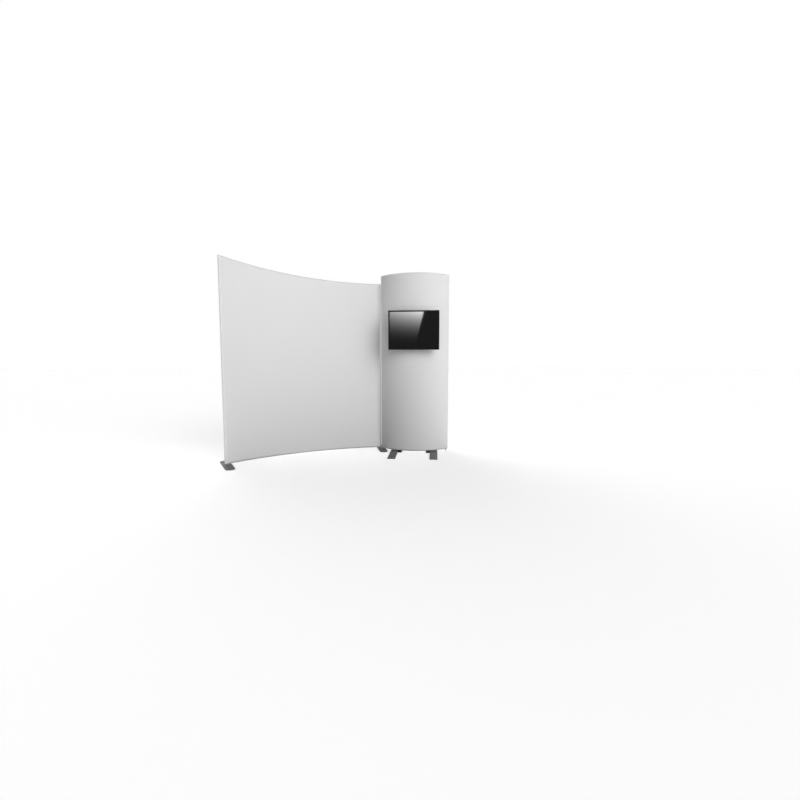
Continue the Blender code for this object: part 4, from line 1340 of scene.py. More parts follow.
    def slit_stitches(self, number: int, low: Point, high: Point) -> Piece:
        """Close stitches round a slit, as round a buttonhole.

        Args:
            number: The slit's number, from 1.
            low: The slit's lowest corner.
            high: Its highest corner.

        Returns:
            The stitches.
        """
        radius = self.bow.radius + self.bow.skin_radius
        angle = math.asin((low[0] + high[0]) / 2 / radius)
        out, along = self.bow.forward(angle), self.bow.along(angle)
        centre = self.bow.outward(angle) * radius + UP * ((low[2] + high[2]) / 2)
        half_width = (high[0] - low[0]) / 2 / along.x + self.slit_edge
        half_height = (high[2] - low[2]) / 2 + self.slit_edge
        marks = [(side.value * half_width, half_height * (2 * share - 1), along)
                 for side in Side for share in EDGE_STITCH.shares(2 * half_height)]
        marks += [(half_width * (2 * share - 1), side.value * half_height, UP)
                  for side in Side for share in EDGE_STITCH.shares(2 * half_width)]
        places = [place_at(centre + along * across + UP * high_up + out * self.slit_lift,
                           lie, out.cross(lie), out) for across, high_up, lie in marks]
        return EDGE_STITCH.sew(f"{self.name}_slit_stitches_{number}", places, self.bow.to_row)

    def build(self, flat: Pair, area: float, rests_on: list[str],
              extras: list[Piece]) -> list[Piece]:
        """Args:
            flat: Width and height of the cut before it is stretched on; not used.
            area: The cut's flat area; not used.
            rests_on: The tubes that hold it; not used.
            extras: Pieces sewn to it that other classes make.

        Returns:
            The cover and all that is sewn to it.
        """
        cover = self.cover()
        sewn = [self.hem(), self.hem_stitches()]
        sewn += [self.slit_stitches(number, *slit) for number, slit in enumerate(self.slits, 1)]
        sewn += extras
        return [cover, *sewn]


@dataclass(frozen=True)
class ZipSlider:
    """Cast slider: a body with side flanges, a bridge and a flat pull with a hole in it."""

    size: Pair = (0.0105, 0.0135)
    thickness: float = 0.0011
    corner: float = 0.003
    ease: float = 0.0003
    over_teeth: float = 0.0004
    flange_at: float = 0.0046
    flange_half: float = 0.0006
    flange_reach: float = 0.006
    flange_drop: float = 0.0014
    flange_rise: float = 0.0003
    flange_ease: float = 0.0002
    bridge_half: float = 0.0014
    bridge_reach: float = 0.0048
    bridge_low: float = 0.0009
    bridge_high: float = 0.0019
    bridge_ease: float = 0.0004
    pull_size: Pair = (0.0075, 0.034)
    pull_thickness: float = 0.0014
    pull_corner: float = 0.0026
    pull_at: float = -0.0215
    pull_lift: float = 0.0003
    hole_size: Pair = (0.0036, 0.010)
    hole_corner: float = 0.0017
    hole_at: float = 0.0095
    cutter_height: float = 0.004
    cutter_reach: float = 0.001

    def build(self, name: str, teeth_top: float) -> Piece:
        """Make the slider round the zip's line.

        Args:
            name: The piece's name.
            teeth_top: Height of the teeth that it runs on.

        Returns:
            The slider with its pull, as one piece.
        """
        low = teeth_top + self.over_teeth
        body = Bench.plate("slider_body", self.size, self.thickness, self.corner, self.ease)
        parts = [Bench.shift(body, 0.0, 0.0, low)]
        for side in Side:
            x = side.value * self.flange_at
            flange = Bench.block(
                "flange", (x - self.flange_half, -self.flange_reach, low - self.flange_drop),
                (x + self.flange_half, self.flange_reach, low + self.flange_rise))
            Bench.ease(flange, self.flange_ease, 1)
            parts.append(flange)
        bridge = Bench.block(
            "bridge", (-self.bridge_half, -self.bridge_reach, low + self.bridge_low),
            (self.bridge_half, self.bridge_reach, low + self.bridge_high))
        Bench.ease(bridge, self.bridge_ease, 2)
        pull = Bench.plate("pull", self.pull_size, self.pull_thickness, self.pull_corner,
                           self.ease)
        hole = Bench.plate("pull_hole", self.hole_size, self.cutter_height, self.hole_corner)
        Bench.cut(pull, Bench.shift(hole, 0.0, self.hole_at, -self.cutter_reach))
        Bench.shift(pull, 0.0, self.pull_at, low + self.pull_lift)
        return Bench.join(name, *parts, bridge, pull)


@dataclass
class ZipFastener:
    """Closed zip: two woven tapes, a row of moulded teeth and a metal slider with its pull.

    frame_at gives the zip's place at a distance along it: X across, Y along, Z outwards. The
    slider moves on the body that has the zip's name.
    """

    name: str
    length: float
    frame_at: Callable[[float], Matrix]
    tape_half: float
    seam_offset: float
    slider_at: float
    curl_radius: float = 0.0
    flat_share: float = 0.935
    tape_thickness: float = 0.0008
    tape_step: float = 0.03
    seam_margin: float = 0.004
    middle_half: float = 0.0032
    pitch: float = 0.0030
    tooth_height: float = 0.0018
    tooth_outer: float = 0.0030
    tooth_inner: float = 0.0010
    tooth_half: float = 0.00055
    tooth_sunk: float = 0.0001
    neck_share: float = 0.72
    tip_share: Point = (0.86, 0.6, 1.0)
    tape_shares: tuple[float, ...] = (0.6, 0.8, 1.0)

    def tape(self) -> Piece:
        """Both tapes as one strip with a seam down its middle.

        Returns:
            The dressed strip.
        """
        right = [self.middle_half, *(self.tape_half * share for share in self.tape_shares)]
        across = [*(-x for x in reversed(right)), 0.0, *right]
        count = max(1, round(self.length / self.tape_step))
        marks = [self.length * number / count for number in range(count + 1)]
        work = bmesh.new()
        layer = work.loops.layers.uv.new("tape")
        lines = [[self.frame_at(mark) @ Vector((x, 0.0, self.curl(x))) for mark in marks]
                 for x in across]
        Bench.net(work, layer, lines, [[(x, mark) for mark in marks] for x in across])
        piece = Bench.keep(f"{self.name}_tapes", work)
        Bench.modify(piece, "SOLIDIFY", thickness=self.tape_thickness, offset=1.0)
        Bench.put(piece, Matrix.Identity(4), level=False)
        return Surface.TAPE.dress(piece, "frame", f"{self.name}_tape")

    def curl(self, x: float) -> float:
        """How far the tape bends back round the hem, as a negative height.

        Args:
            x: Distance from the tape's middle.

        Returns:
            The height, which is zero over the flat middle.
        """
        if not self.curl_radius:
            return 0.0
        depth = math.sqrt(self.curl_radius ** 2 - x * x) - self.curl_radius * self.flat_share
        return min(0.0, depth)

    def teeth(self) -> Piece:
        """Row of interlocked teeth.

        Returns:
            The dressed row.
        """
        base = self.tape_thickness - self.tooth_sunk
        neck = self.tooth_height * self.neck_share
        tooth = Bench.block("tooth", (-self.tooth_outer, -self.tooth_half, base),
                            (self.tooth_inner, self.tooth_half, base + neck))
        with Bench.shaping(tooth, Pick.FACES, lambda face: face.normal.z > 0.9):
            bpy.ops.mesh.extrude_region_move(
                TRANSFORM_OT_translate={"value": (0.0, 0.0, self.tooth_height - neck)})
            bpy.ops.transform.resize(value=self.tip_share)
        half_turn = Matrix.Rotation(math.pi, 4, "Z")
        places = []
        for number in range(1, int(self.length / self.pitch) - 1):
            mark = self.pitch * number
            places += [self.frame_at(mark), self.frame_at(mark + self.pitch / 2) @ half_turn]
        piece = Bench.repeat(f"{self.name}_teeth", tooth, places)
        return Surface.TEETH.dress(Bench.put(piece, Matrix.Identity(4)), "frame")

    def seam(self) -> Piece:
        """Stitches along both edges of the tapes.

        Returns:
            The dressed stitches.
        """
        turn = Matrix.Rotation(QUARTER, 4, "Z")
        places = []
        for side in Side:
            x = side.value * self.seam_offset
            lift = Matrix.Translation((x, 0.0, self.curl(x) + self.tape_thickness))
            places += [self.frame_at(mark) @ lift @ turn
                       for mark in SEAM_STITCH.marks(self.length, self.seam_margin)]
        return SEAM_STITCH.sew(f"{self.name}_seam", places, Matrix.Identity(4))

    def slider(self) -> Piece:
        """Slider with its pull, where the zip is closed.

        Returns:
            The dressed slider.
        """
        piece = ZipSlider().build(f"{self.name}_slider_and_pull",
                                  self.tape_thickness + self.tooth_height)
        Bench.put(piece, self.frame_at(self.slider_at))
        return Surface.SLIDER.dress(piece, self.name, f"{self.name}_slider")

    def build(self) -> list[Piece]:
        """Make the whole fastener; its sewn pieces come first and its slider last."""
        return [self.tape(), self.teeth(), self.seam(), self.slider()]


@dataclass(frozen=True)
class HemZip:
    """Where the zip lies under the wall's bottom rail, teeth down."""

    margin: float = 0.039
    drop: float = 0.0253
    tape_half: float = 0.013
    seam_offset: float = 0.0118
    curl_radius: float = 0.0268
    slider_from_end: float = 0.075

    def frame_at(self, distance: float) -> Matrix:
        """Place on its line: X to the back, Y along the rail, Z down.

        Args:
            distance: Distance along the zip.

        Returns:
            The place in the row.
        """
        angle = WALL.angle(distance + self.margin)
        spot = WALL.outward(angle) * WALL.radius
        spot.z = WALL.bottom_axis - self.drop
        return WALL.to_row @ place_at(spot, -WALL.forward(angle), WALL.along(angle), -UP)

    def fastener(self) -> ZipFastener:
        """The zip itself."""
        length = WALL.length - 2 * self.margin
        return ZipFastener("wall_zip", length, self.frame_at, self.tape_half, self.seam_offset,
                           length - self.slider_from_end, self.curl_radius)


@dataclass(frozen=True)
class BackZip:
    """Where the upright zip lies in the column cover's back."""

    low: float = 0.120
    high: float = 2.330
    slot_half: float = 0.0103
    seam_offset: float = 0.0088
    skin_inside: float = 0.0256
    bend: float = 5.5
    slider_at: float = 0.075

    def origin(self) -> Matrix:
        """Foot of the zip's line: X across, Y up, Z backwards.

        Returns:
            The place, in the arc's own coordinates.
        """
        bow = COLUMN
        angle = bow.left + (bow.right - bow.left) * self.bend / bow.bends
        back = -bow.forward(angle)
        spot = bow.outward(angle) * (bow.radius - bow.sagitta) + back * self.skin_inside
        spot.z = self.low
        return place_at(spot, -bow.along(angle), UP, back)

    def slot(self) -> tuple[Matrix, Point, Point]:
        """Place and corners of the opening in the cover."""
        return (self.origin(), (-self.slot_half, 0.0, -OVERRUN),
                (self.slot_half, self.high - self.low, OVERRUN))

    def frame_at(self, distance: float) -> Matrix:
        """Place in the row at a distance up the zip."""
        return COLUMN.to_row @ self.origin() @ Matrix.Translation((0.0, distance, 0.0))

    def fastener(self) -> ZipFastener:
        """The zip itself."""
        return ZipFastener("column_zip", self.high - self.low, self.frame_at,
                           self.slot_half - GAP, self.seam_offset, self.slider_at)


@dataclass(frozen=True)
class FootPlates:
    """Flat steel feet: two with round ends on the wall's pins, two long ones by the column.

    A reach is how far a round-ended plate runs in front of and behind its origin.
    """

    thickness: float = 0.008
    half_width: float = 0.057
    ease: float = 0.0010
    end_steps: int = 20
    pin_hole: float = 0.0073
    left_reach: Pair = (0.290, 0.250)
    shared_reach: Pair = (0.280, 0.250)
    column_size: Pair = (0.105, 0.637)
    column_corner: float = 0.004
    column_front: float = -1.067
    column_near: float = 0.22305

    def round_ended(self, name: str, reach: Pair,
                    holes: list[Pair], place: Matrix) -> Piece:
        """Round-ended plate with pin holes.

        Args:
            name: The piece's name.
            reach: How far it runs in front of and behind its origin.
            holes: Where the pins go through it.
            place: Where its origin goes.

        Returns:
            The plate, in place.
        """
        front, back = reach
        piece = Bench.plate(name, (2 * self.half_width, front + back), self.thickness,
                            self.half_width - END_FLAT / 2, self.ease, self.end_steps)
        Bench.shift(piece, 0.0, (back - front) / 2, 0.0)
        for x, y in holes:
            Bench.cut(piece, Bench.rod("pin_hole", (x, y, -OVERRUN),
                                       (x, y, self.thickness + OVERRUN), self.pin_hole))
        return Bench.put(piece, place)

    def long_foot(self, side: Side) -> Piece:
        """Long plate that runs out from under one side of the column.

        Args:
            side: The column's side.

        Returns:
            The dressed plate.
        """
        width, length = self.column_size
        piece = Bench.plate(f"column_{side.word}_foot", self.column_size, self.thickness,
                            self.column_corner, self.ease)
        place = Matrix.Translation((side.value * (self.column_near + width / 2),
                                    self.column_front + length / 2, 0.0))
        Bench.put(piece, COLUMN.to_row @ place)
        return Surface.FOOT.dress(piece, "frame", f"column_{side.word}_foot_plate")

    def build(self) -> list[Piece]:
        """Make all four feet.

        Returns:
            The left foot, the shared one and the column's two.
        """
        pin = WALL.to_row @ (WALL.outward(WALL.left) * WALL.radius)
        left = self.round_ended("left_foot", self.left_reach, [(0.0, 0.0)],
                                Matrix.Translation(pin))
        wall_end = WALL.to_row @ (WALL.outward(WALL.right) * WALL.radius)
        column_end = COLUMN.to_row @ (COLUMN.outward(COLUMN.left) * COLUMN.radius)
        middle = (wall_end + column_end) / 2
        turn = Matrix.Rotation(-WALL.right, 4, "Z")
        holes = [tuple((turn.inverted() @ (end - middle)).xy) for end in (wall_end, column_end)]
        shared = self.round_ended("junction_foot", self.shared_reach, holes,
                                  Matrix.Translation(middle) @ turn)
        return [Surface.FOOT.dress(left, "left_foot", "wall_left_foot_plate"),
                Surface.FOOT.dress(shared, "frame", "junction_foot_plate"),
                *(self.long_foot(side) for side in Side)]


@dataclass(frozen=True)
class Shoes:
    """Black moulded shoes under the screen's posts, each on a steel tongue over its foot."""

    post_x: float = 0.19505
    width: float = 0.055
    front: float = -0.655
    length: float = 0.165
    top: float = 0.0193
    corner: float = 0.005
    ease: float = 0.0025
    rim: float = 0.0065
    dish_depth: float = 0.0008
    dish_corner: float = 0.002
    tongue_reach: float = 0.085
    tongue_length: float = 0.065
    tongue_hidden: float = 0.012
    tongue_inset: float = 0.0015
    tongue_low: float = 0.0083
    tongue_thickness: float = 0.006
    tongue_corner: float = 0.004
    tongue_ease: float = 0.0010

    def shoe(self, side: Side) -> Piece:
        """Moulded block with a dished top.

        Args:
            side: The column's side.

        Returns:
            The dressed shoe.
        """
        piece = Bench.plate(f"column_{side.word}_shoe_moulded", (self.width, self.length),
                            self.top, self.corner, self.ease)
        dish = Bench.plate("dish", (self.width - 2 * self.rim, self.length - 2 * self.rim),
                           OVERRUN, self.dish_corner)
        Bench.cut(piece, Bench.shift(dish, 0.0, 0.0, self.top - self.dish_depth))
        Bench.put(piece, COLUMN.to_row @ Matrix.Translation(
            (side.value * self.post_x, self.front + self.length / 2, 0.0)))
        return Surface.PLASTIC.dress(piece, "frame", f"column_{side.word}_shoe")

    def tongue(self, side: Side) -> Piece:
        """Flat bar from inside the shoe out over the foot plate.

        Args:
            side: The column's side.

        Returns:
            The dressed bar.
        """
        size = (self.tongue_reach + self.tongue_hidden,
                self.tongue_length - 2 * self.tongue_inset)
        piece = Bench.plate(f"column_{side.word}_shoe_tongue", size, self.tongue_thickness,
                            self.tongue_corner, self.tongue_ease)
        reach = self.post_x + (self.width + self.tongue_reach - self.tongue_hidden) / 2
        back = self.front + self.length - self.tongue_inset
        Bench.put(piece, COLUMN.to_row @ Matrix.Translation(
            (side.value * reach, back - self.tongue_length / 2, self.tongue_low)))
        return Surface.FOOT.dress(piece, "frame")

    def build(self) -> list[Piece]:
        """Make both shoes with their tongues."""
        return [make(side) for side in Side for make in (self.shoe, self.tongue)]


@dataclass(frozen=True)
class ScreenMount:
    """Folded steel mount: two arms out of the column, a cross plate and two pivot knobs."""

    sheet: float = 0.003
    bend: float = 0.0035
    sheet_ease: float = 0.0005
    half_width: float = 0.22305
    plate_back: float = -0.650
    ear_depth: float = 0.040
    plate_height: float = 0.090
    height: float = 1.684
    slot_size: Pair = (0.080, 0.012)
    slot_columns: tuple[float, ...] = (-0.115, 0.0, 0.115)
    slot_rows: tuple[float, ...] = (-0.024, 0.024)
    arm_back: float = -0.59262
    arm_height: float = 0.080
    arm_inner: float = 0.18005
    arm_outer: float = 0.21005
    pivot_depth: float = 0.030
    bolt_hole: float = 0.0043
    knob_radius: float = 0.016
    knob_thickness: float = 0.014
    knob_sides: int = 72
    knob_lobes: int = 6
    lobe_depth: float = 0.18
    knob_ease: float = 0.002
    dish_radius: float = 0.0086
    dish_depth: float = 0.0014
    cap_radius: float = 0.0076
    cap_thickness: float = 0.0018
    cap_drop: float = 0.0002
    cap_ease: float = 0.0006
    collar_radius: float = 0.0085
    collar_thickness: float = 0.0018
    shank_radius: float = 0.004
    shank_start: float = 0.21
    shank_inside: float = 0.002

    def fold(self, name: str, path: list[Pair], low: float, high: float,
             bend: float) -> Piece:
        """Folded sheet that follows a path seen from above.

        Args:
            name: The piece's name.
            path: Corners of the sheet's outer face, with its thickness to their left.
            low: Height of its lower edge.
            high: Height of its upper edge.
            bend: Radius of its bends.

        Returns:
            The sheet with its thickness, its bends rounded.
        """
        work = bmesh.new()
        pairs = [[work.verts.new((x, y, z)) for z in (low, high)] for x, y in path]
        for first, second in zip(pairs, pairs[1:]):
            work.faces.new((first[0], second[0], second[1], first[1]))
        piece = Bench.keep(name, work)
        inner = {(round(x, 5), round(y, 5)) for x, y in path[1:-1]}
        with Bench.shaping(piece, Pick.EDGES, lambda edge: self.upright(edge) and (
                round(edge.verts[0].co.x, 5), round(edge.verts[0].co.y, 5)) in inner):
            bpy.ops.mesh.bevel(offset=bend, segments=4, affect="EDGES")
        Bench.modify(piece, "SOLIDIFY", thickness=self.sheet, offset=-1.0, use_even_offset=True)
        return piece

    @staticmethod
    def upright(edge: bmesh.types.BMEdge) -> bool:
        """Whether an edge stands upright."""
        return abs(edge.verts[0].co.z - edge.verts[1].co.z) > 0.01

    def slots(self, piece: Piece, places: list[Pair],
              size: Pair, y: float) -> None:
        """Cut round-ended slots through a sheet that faces the viewer.

        Args:
            piece: The sheet.
            places: Middles of the slots, across and up.
            size: Their width and height.
            y: Depth of the sheet.
        """
        for x, z in places:
            slot = Bench.plate("slot", size, 2 * OVERRUN, min(size) / 2 - END_FLAT)
            Bench.cut(piece, Bench.stand(slot, x, y + OVERRUN, z))

    def cross_plate(self) -> Piece:
        """Cross plate with an ear bent forward at each end, slotted to save weight.

        Returns:
            The dressed plate.
        """
        outer, tip = self.half_width, self.plate_back - self.ear_depth
        low = self.height - self.plate_height / 2
        path = [(-outer, tip), (-outer, self.plate_back), (outer, self.plate_back), (outer, tip)]
        piece = self.fold("mount_cross_sheet", path, low, low + self.plate_height, self.bend)
        places = [(x, self.height + z) for x in self.slot_columns for z in self.slot_rows]
        self.slots(piece, places, self.slot_size, self.plate_back)
        y = self.plate_back - self.pivot_depth
        Bench.cut(piece, Bench.rod("pivot_hole", (-outer - OVERRUN, y, self.height),
                                   (outer + OVERRUN, y, self.height), self.bolt_hole))
        Bench.ease(piece, self.sheet_ease, 1)
        return Surface.STEEL.dress(Bench.put(piece, COLUMN.to_row), "frame", "mount_cross_plate")

    def arm(self, side: Side) -> Piece:
        """Arm from a post's face out through the cover's slit to the cross plate.

        Args:
            side: The column's side.

        Returns:
            The dressed arm.
        """
        inner, outer = (side.value * x for x in (self.arm_inner, self.arm_outer))
        front = self.plate_back + GAP
        path = [(outer, self.arm_back), (inner, self.arm_back), (inner, front), (outer, front)]
        if side is Side.LEFT:
            path.reverse()
        low = self.height - self.arm_height / 2
        piece = self.fold(f"mount_{side.word}_arm_sheet", path, low, low + self.arm_height,
                          self.bend)
        Bench.ease(piece, self.sheet_ease, 1)
        Bench.put(piece, COLUMN.to_row)
        return Surface.STEEL.dress(piece, "frame", f"mount_{side.word}_arm")

    def grip(self, seat: float) -> Piece:
        """Lobed grip with a dished end.

        Args:
            seat: Height that it starts at.

        Returns:
            The grip, round the Z axis.
        """
        top = seat + self.knob_thickness
        piece = Bench.rod("grip", (0.0, 0.0, seat), (0.0, 0.0, top), self.knob_radius,
                          self.knob_sides)
        for vert in piece.data.vertices:
            lobe = math.cos(self.knob_lobes * math.atan2(vert.co.y, vert.co.x))
            share = 1 - self.lobe_depth * (1 - lobe) / 2
            vert.co.x, vert.co.y = vert.co.x * share, vert.co.y * share
        Bench.ease(piece, self.knob_ease, 3, SHARP)
        Bench.cut(piece, Bench.rod("dish", (0.0, 0.0, top - self.dish_depth),
                                   (0.0, 0.0, top + OVERRUN), self.dish_radius, 48))
        return piece

    def knob(self, side: Side) -> Piece:
        """Lobed grip with a capped hub on a steel-coloured shank.

        Args:
            side: The screen's side.

        Returns:
            The dressed knob.
        """
        seat = self.half_width + GAP
        top = seat + self.knob_thickness - self.cap_drop
        grip = self.grip(seat)
        shank = Bench.rod("shank", (0.0, 0.0, self.shank_start),
                          (0.0, 0.0, seat + self.shank_inside), self.shank_radius, 24)
        collar = Bench.rod("collar", (0.0, 0.0, seat), (0.0, 0.0, seat + self.collar_thickness),
                           self.collar_radius, 32)
        cap = Bench.rod("cap", (0.0, 0.0, top - self.cap_thickness), (0.0, 0.0, top),
                        self.cap_radius, 48)
        Bench.ease(cap, self.cap_ease, 2)
        piece = Bench.join(f"mount_{side.word}_knob_grip", grip, shank, collar, cap)
        place = Matrix.Translation((0.0, self.plate_back - self.pivot_depth, self.height))
        Bench.put(piece, COLUMN.to_row @ place
                  @ Matrix.Rotation(side.value * QUARTER, 4, "Y"))
        return Surface.PLASTIC.dress(piece, f"{side.word}_knob", f"mount_{side.word}_knob")

    def build(self) -> list[Piece]:
        """Make the cross plate, both arms and both knobs."""
        return [self.cross_plate(),
                *(make(side) for side in Side for make in (self.arm, self.knob))]


@dataclass(frozen=True)
class FlatScreen:
    """Flat screen: moulded shell, bezel, glass, rails on its back, inlet and power button.

    Its own coordinates start at the middle of the tilt axis.
    """

    axis_depth: float = -0.680
    axis_height: float = 1.684
    width: float = 0.684
    height: float = 0.522
    back: float = -0.020
    shell_depth: float = 0.038
    shell_wall: float = 0.0025
    shell_inset: float = 0.001
    shell_corner: float = 0.008
    back_border: float = 0.018
    back_step: Pair = (0.002, -0.0012)
    vent_size: Pair = (0.0028, 0.026)
    vent_corner: float = 0.0013
    vent_pitch: float = 0.0072
    vent_rows: tuple[float, ...] = (0.165, -0.165)
    vent_side_count: int = 12
    bezel_width: float = 0.018
    bezel_thickness: float = 0.0045
    bezel_corner: float = 0.004
    bezel_ease: float = 0.0010
    opening_corner: float = 0.0012
    opening_ease: float = 0.0006
    glass_thickness: float = 0.003
    glass_play: float = 0.0008
    glass_corner: float = 0.001
    glass_ease: float = 0.0003
    rail_outer: float = 0.21955
    rail_flange: float = 0.030
    rail_depth: float = 0.0317
    rail_half: float = 0.200
    rail_bend: float = 0.004
    rail_middle: float = 0.0165
    rail_slot: Pair = (0.006, 0.040)
    rail_slot_heights: tuple[float, ...] = (-0.150, -0.05, 0.05, 0.150)
    screw_heights: tuple[float, ...] = (-0.160, -0.06, 0.06, 0.160)
    screw_radius: float = 0.0052
    screw_height: float = 0.0026
    screw_ease: float = 0.0009
    inlet_x: float = -0.120
    inlet_z: float = -0.225
    inlet_half: Pair = (0.015, 0.011)
    inlet_depth: float = 0.018
    inlet_inside: float = 0.001
    rim_size: Pair = (0.038, 0.030)
    rim_thickness: float = 0.002
    rim_ease: float = 0.0005
    recess_size: Pair = (0.024, 0.016)
    recess_depth: float = 0.03
    inlet_corner: float = 0.003
    blade_half: Pair = (0.002, 0.001)
    blade_reach: Pair = (-0.0155, -0.002)
    blade_places: tuple[Pair, ...] = ((-0.007, -0.002), (0.0, 0.0025),
                                                     (0.007, -0.002))
    button_x: float = 0.282
    button_y: float = -0.038
    button_radius: float = 0.005
    button_proud: float = 0.0018
    button_ease: float = 0.0006
    button_rim: float = 0.0012
    button_dish: Pair = (0.0006, -0.0004)
    flange_radius: float = 0.007
    flange_thickness: float = 0.002

    @property
    def place(self) -> Matrix:
        """The tilt axis in the row: X to the viewer's right, Y away from the viewer."""
        return COLUMN.to_row @ Matrix.Translation((0.0, self.axis_depth, self.axis_height))

    @staticmethod
    def face_on(name: str, size: Pair, thickness: float, corner: float,
                ease: float, front: float) -> Piece:
        """Rounded plate that faces the viewer, its front face at a depth."""
        piece = Bench.plate(name, size, thickness, corner, ease)
        return Bench.stand(piece, 0.0, front + thickness, 0.0)

    def shell(self) -> Piece:
        """Open-fronted back case with rounded edges, vents and a socket opening.

        Returns:
            The dressed case.
        """
        half_width = self.width / 2 - self.shell_inset
        half_height = self.height / 2 - self.shell_inset
        front = self.back - self.shell_depth
        piece = Bench.block("screen_back_case", (-half_width, front, -half_height),
                            (half_width, self.back, half_height))
        with Bench.shaping(piece, Pick.FACES, lambda face: face.normal.y < -0.5):
            bpy.ops.mesh.delete(type="ONLY_FACE")
        with Bench.shaping(piece, Pick.EDGES, lambda edge: len(edge.link_faces) == 2):
            bpy.ops.mesh.bevel(offset=self.shell_corner, segments=5, affect="EDGES")
        with Bench.shaping(piece, Pick.FACES, lambda face: face.normal.y > 0.999
                           and face.calc_area() > 0.1):
            bpy.ops.mesh.inset(thickness=self.back_border)
            bpy.ops.mesh.inset(thickness=self.back_step[0], depth=self.back_step[1])
        Bench.modify(piece, "SOLIDIFY", thickness=self.shell_wall, offset=-1.0,
                     use_even_offset=True)
        self.vents(piece)
        across, up = (half + GAP for half in self.inlet_half)
        hole_low = (self.inlet_x - across, self.back - OVERRUN, self.inlet_z - up)
        hole_high = (self.inlet_x + across, self.back + OVERRUN, self.inlet_z + up)
        Bench.cut(piece, Bench.block("inlet_hole", hole_low, hole_high))
        Bench.cut(piece, Bench.rod(
            "button_hole", (self.button_x, self.button_y, -half_height - OVERRUN),
            (self.button_x, self.button_y, OVERRUN - half_height), self.button_radius + GAP))
        return Surface.PLASTIC.dress(Bench.put(piece, self.place), "screen", "screen_rear_shell")

    def vents(self, piece: Piece) -> None:
        """Cut two rows of upright vent slots through the back.

        Args:
            piece: The back case.
        """
        slots = []
        for z in self.vent_rows:
            for number in range(-self.vent_side_count, self.vent_side_count + 1):
                slot = Bench.plate("vent", self.vent_size, 2 * OVERRUN, self.vent_corner,
                                   steps=3)
                slots.append(Bench.stand(slot, number * self.vent_pitch, self.back + OVERRUN, z))
        Bench.cut(piece, Bench.join("vents", *slots))

    def front(self) -> list[Piece]:
        """Bezel and glass.

        Returns:
            The dressed bezel, then the dressed glass.
        """
        face = self.back - self.shell_depth - GAP
        bezel = self.face_on("screen_frame_moulding", (self.width, self.height),
                             self.bezel_thickness, self.bezel_corner, self.bezel_ease,
                             face - self.bezel_thickness)
        opening = self.width - 2 * self.bezel_width, self.height - 2 * self.bezel_width
        Bench.cut(bezel, self.face_on("opening", opening, 2 * OVERRUN, self.opening_corner, 0.0,
                                      face - OVERRUN))
        Bench.ease(bezel, self.opening_ease, 2, SHARP)
        Bench.put(bezel, self.place)
        pane = opening[0] - self.glass_play, opening[1] - self.glass_play
        glass = self.face_on("screen_pane", pane, self.glass_thickness, self.glass_corner,
                             self.glass_ease, face + GAP - self.glass_thickness)
        Bench.put(glass, self.place)
        return [Surface.BEZEL.dress(bezel, "screen", "screen_bezel"),
                Surface.GLASS.dress(glass, "screen", "screen_glass")]

    def rail(self, side: Side, mount: ScreenMount) -> Piece:
        """Angle rail with adjustment slots and four screws, hung on the pivot.

        Args:
            side: The screen's side.
            mount: The mount, whose sheet steel it shares.

        Returns:
            The dressed rail.
        """
        outer = side.value * self.rail_outer
        inner = outer - side.value * self.rail_flange
        middle = outer - side.value * self.rail_middle
        front = self.back + GAP
        path = [(inner, front), (outer, front), (outer, front + self.rail_depth)]
        if side is Side.RIGHT:
            path.reverse()
        piece = mount.fold(f"screen_{side.word}_rail_sheet", path, -self.rail_half,
                           self.rail_half, self.rail_bend)
        mount.slots(piece, [(middle, z) for z in self.rail_slot_heights], self.rail_slot, front)
        Bench.cut(piece, Bench.rod("pivot_hole", (outer - OVERRUN, 0.0, 0.0),
                                   (outer + OVERRUN, 0.0, 0.0), mount.bolt_hole))
        Bench.ease(piece, mount.sheet_ease, 1)
        seat = front + mount.sheet
        screws = [Bench.rod("screw", (middle, seat, z), (middle, seat + self.screw_height, z),
                            self.screw_radius, 24) for z in self.screw_heights]
        for screw in screws:
            Bench.ease(screw, self.screw_ease, 2)
        joined = Bench.join(f"screen_{side.word}_rail_with_screws", piece, *screws)
        Bench.put(joined, self.place)
        return Surface.STEEL.dress(joined, "screen", f"screen_{side.word}_rail")

    def inlet(self) -> Piece:
        """Mains socket with a rim and three blades.

        Returns:
            The dressed socket.
        """
        x, z, seat = self.inlet_x, self.inlet_z, self.back + GAP
        across, up = self.inlet_half
        rim = Bench.plate("rim", self.rim_size, self.rim_thickness, self.inlet_corner,
                          self.rim_ease)
        Bench.stand(rim, x, seat + self.rim_thickness, z)
        body = Bench.block("body", (x - across, self.back - self.inlet_depth, z - up),
                           (x + across, seat + self.inlet_inside, z + up))
        Bench.modify(rim, "BOOLEAN", operation="UNION", solver="EXACT", object=body)
        bpy.data.objects.remove(body, do_unlink=True)
        recess = Bench.plate("recess", self.recess_size, self.recess_depth, self.inlet_corner)
        Bench.cut(rim, Bench.stand(recess, x, seat + self.recess_depth / 2, z))
        wide, high = self.blade_half
        deep, near = (self.back + reach for reach in self.blade_reach)
        blades = [Bench.block("blade", (x + shift - wide, deep, z + drop - high),
                              (x + shift + wide, near, z + drop + high))
                  for shift, drop in self.blade_places]
        piece = Bench.join("screen_inlet_socket", rim, *blades)
        return Surface.PLASTIC.dress(Bench.put(piece, self.place), "screen", "screen_power_inlet")

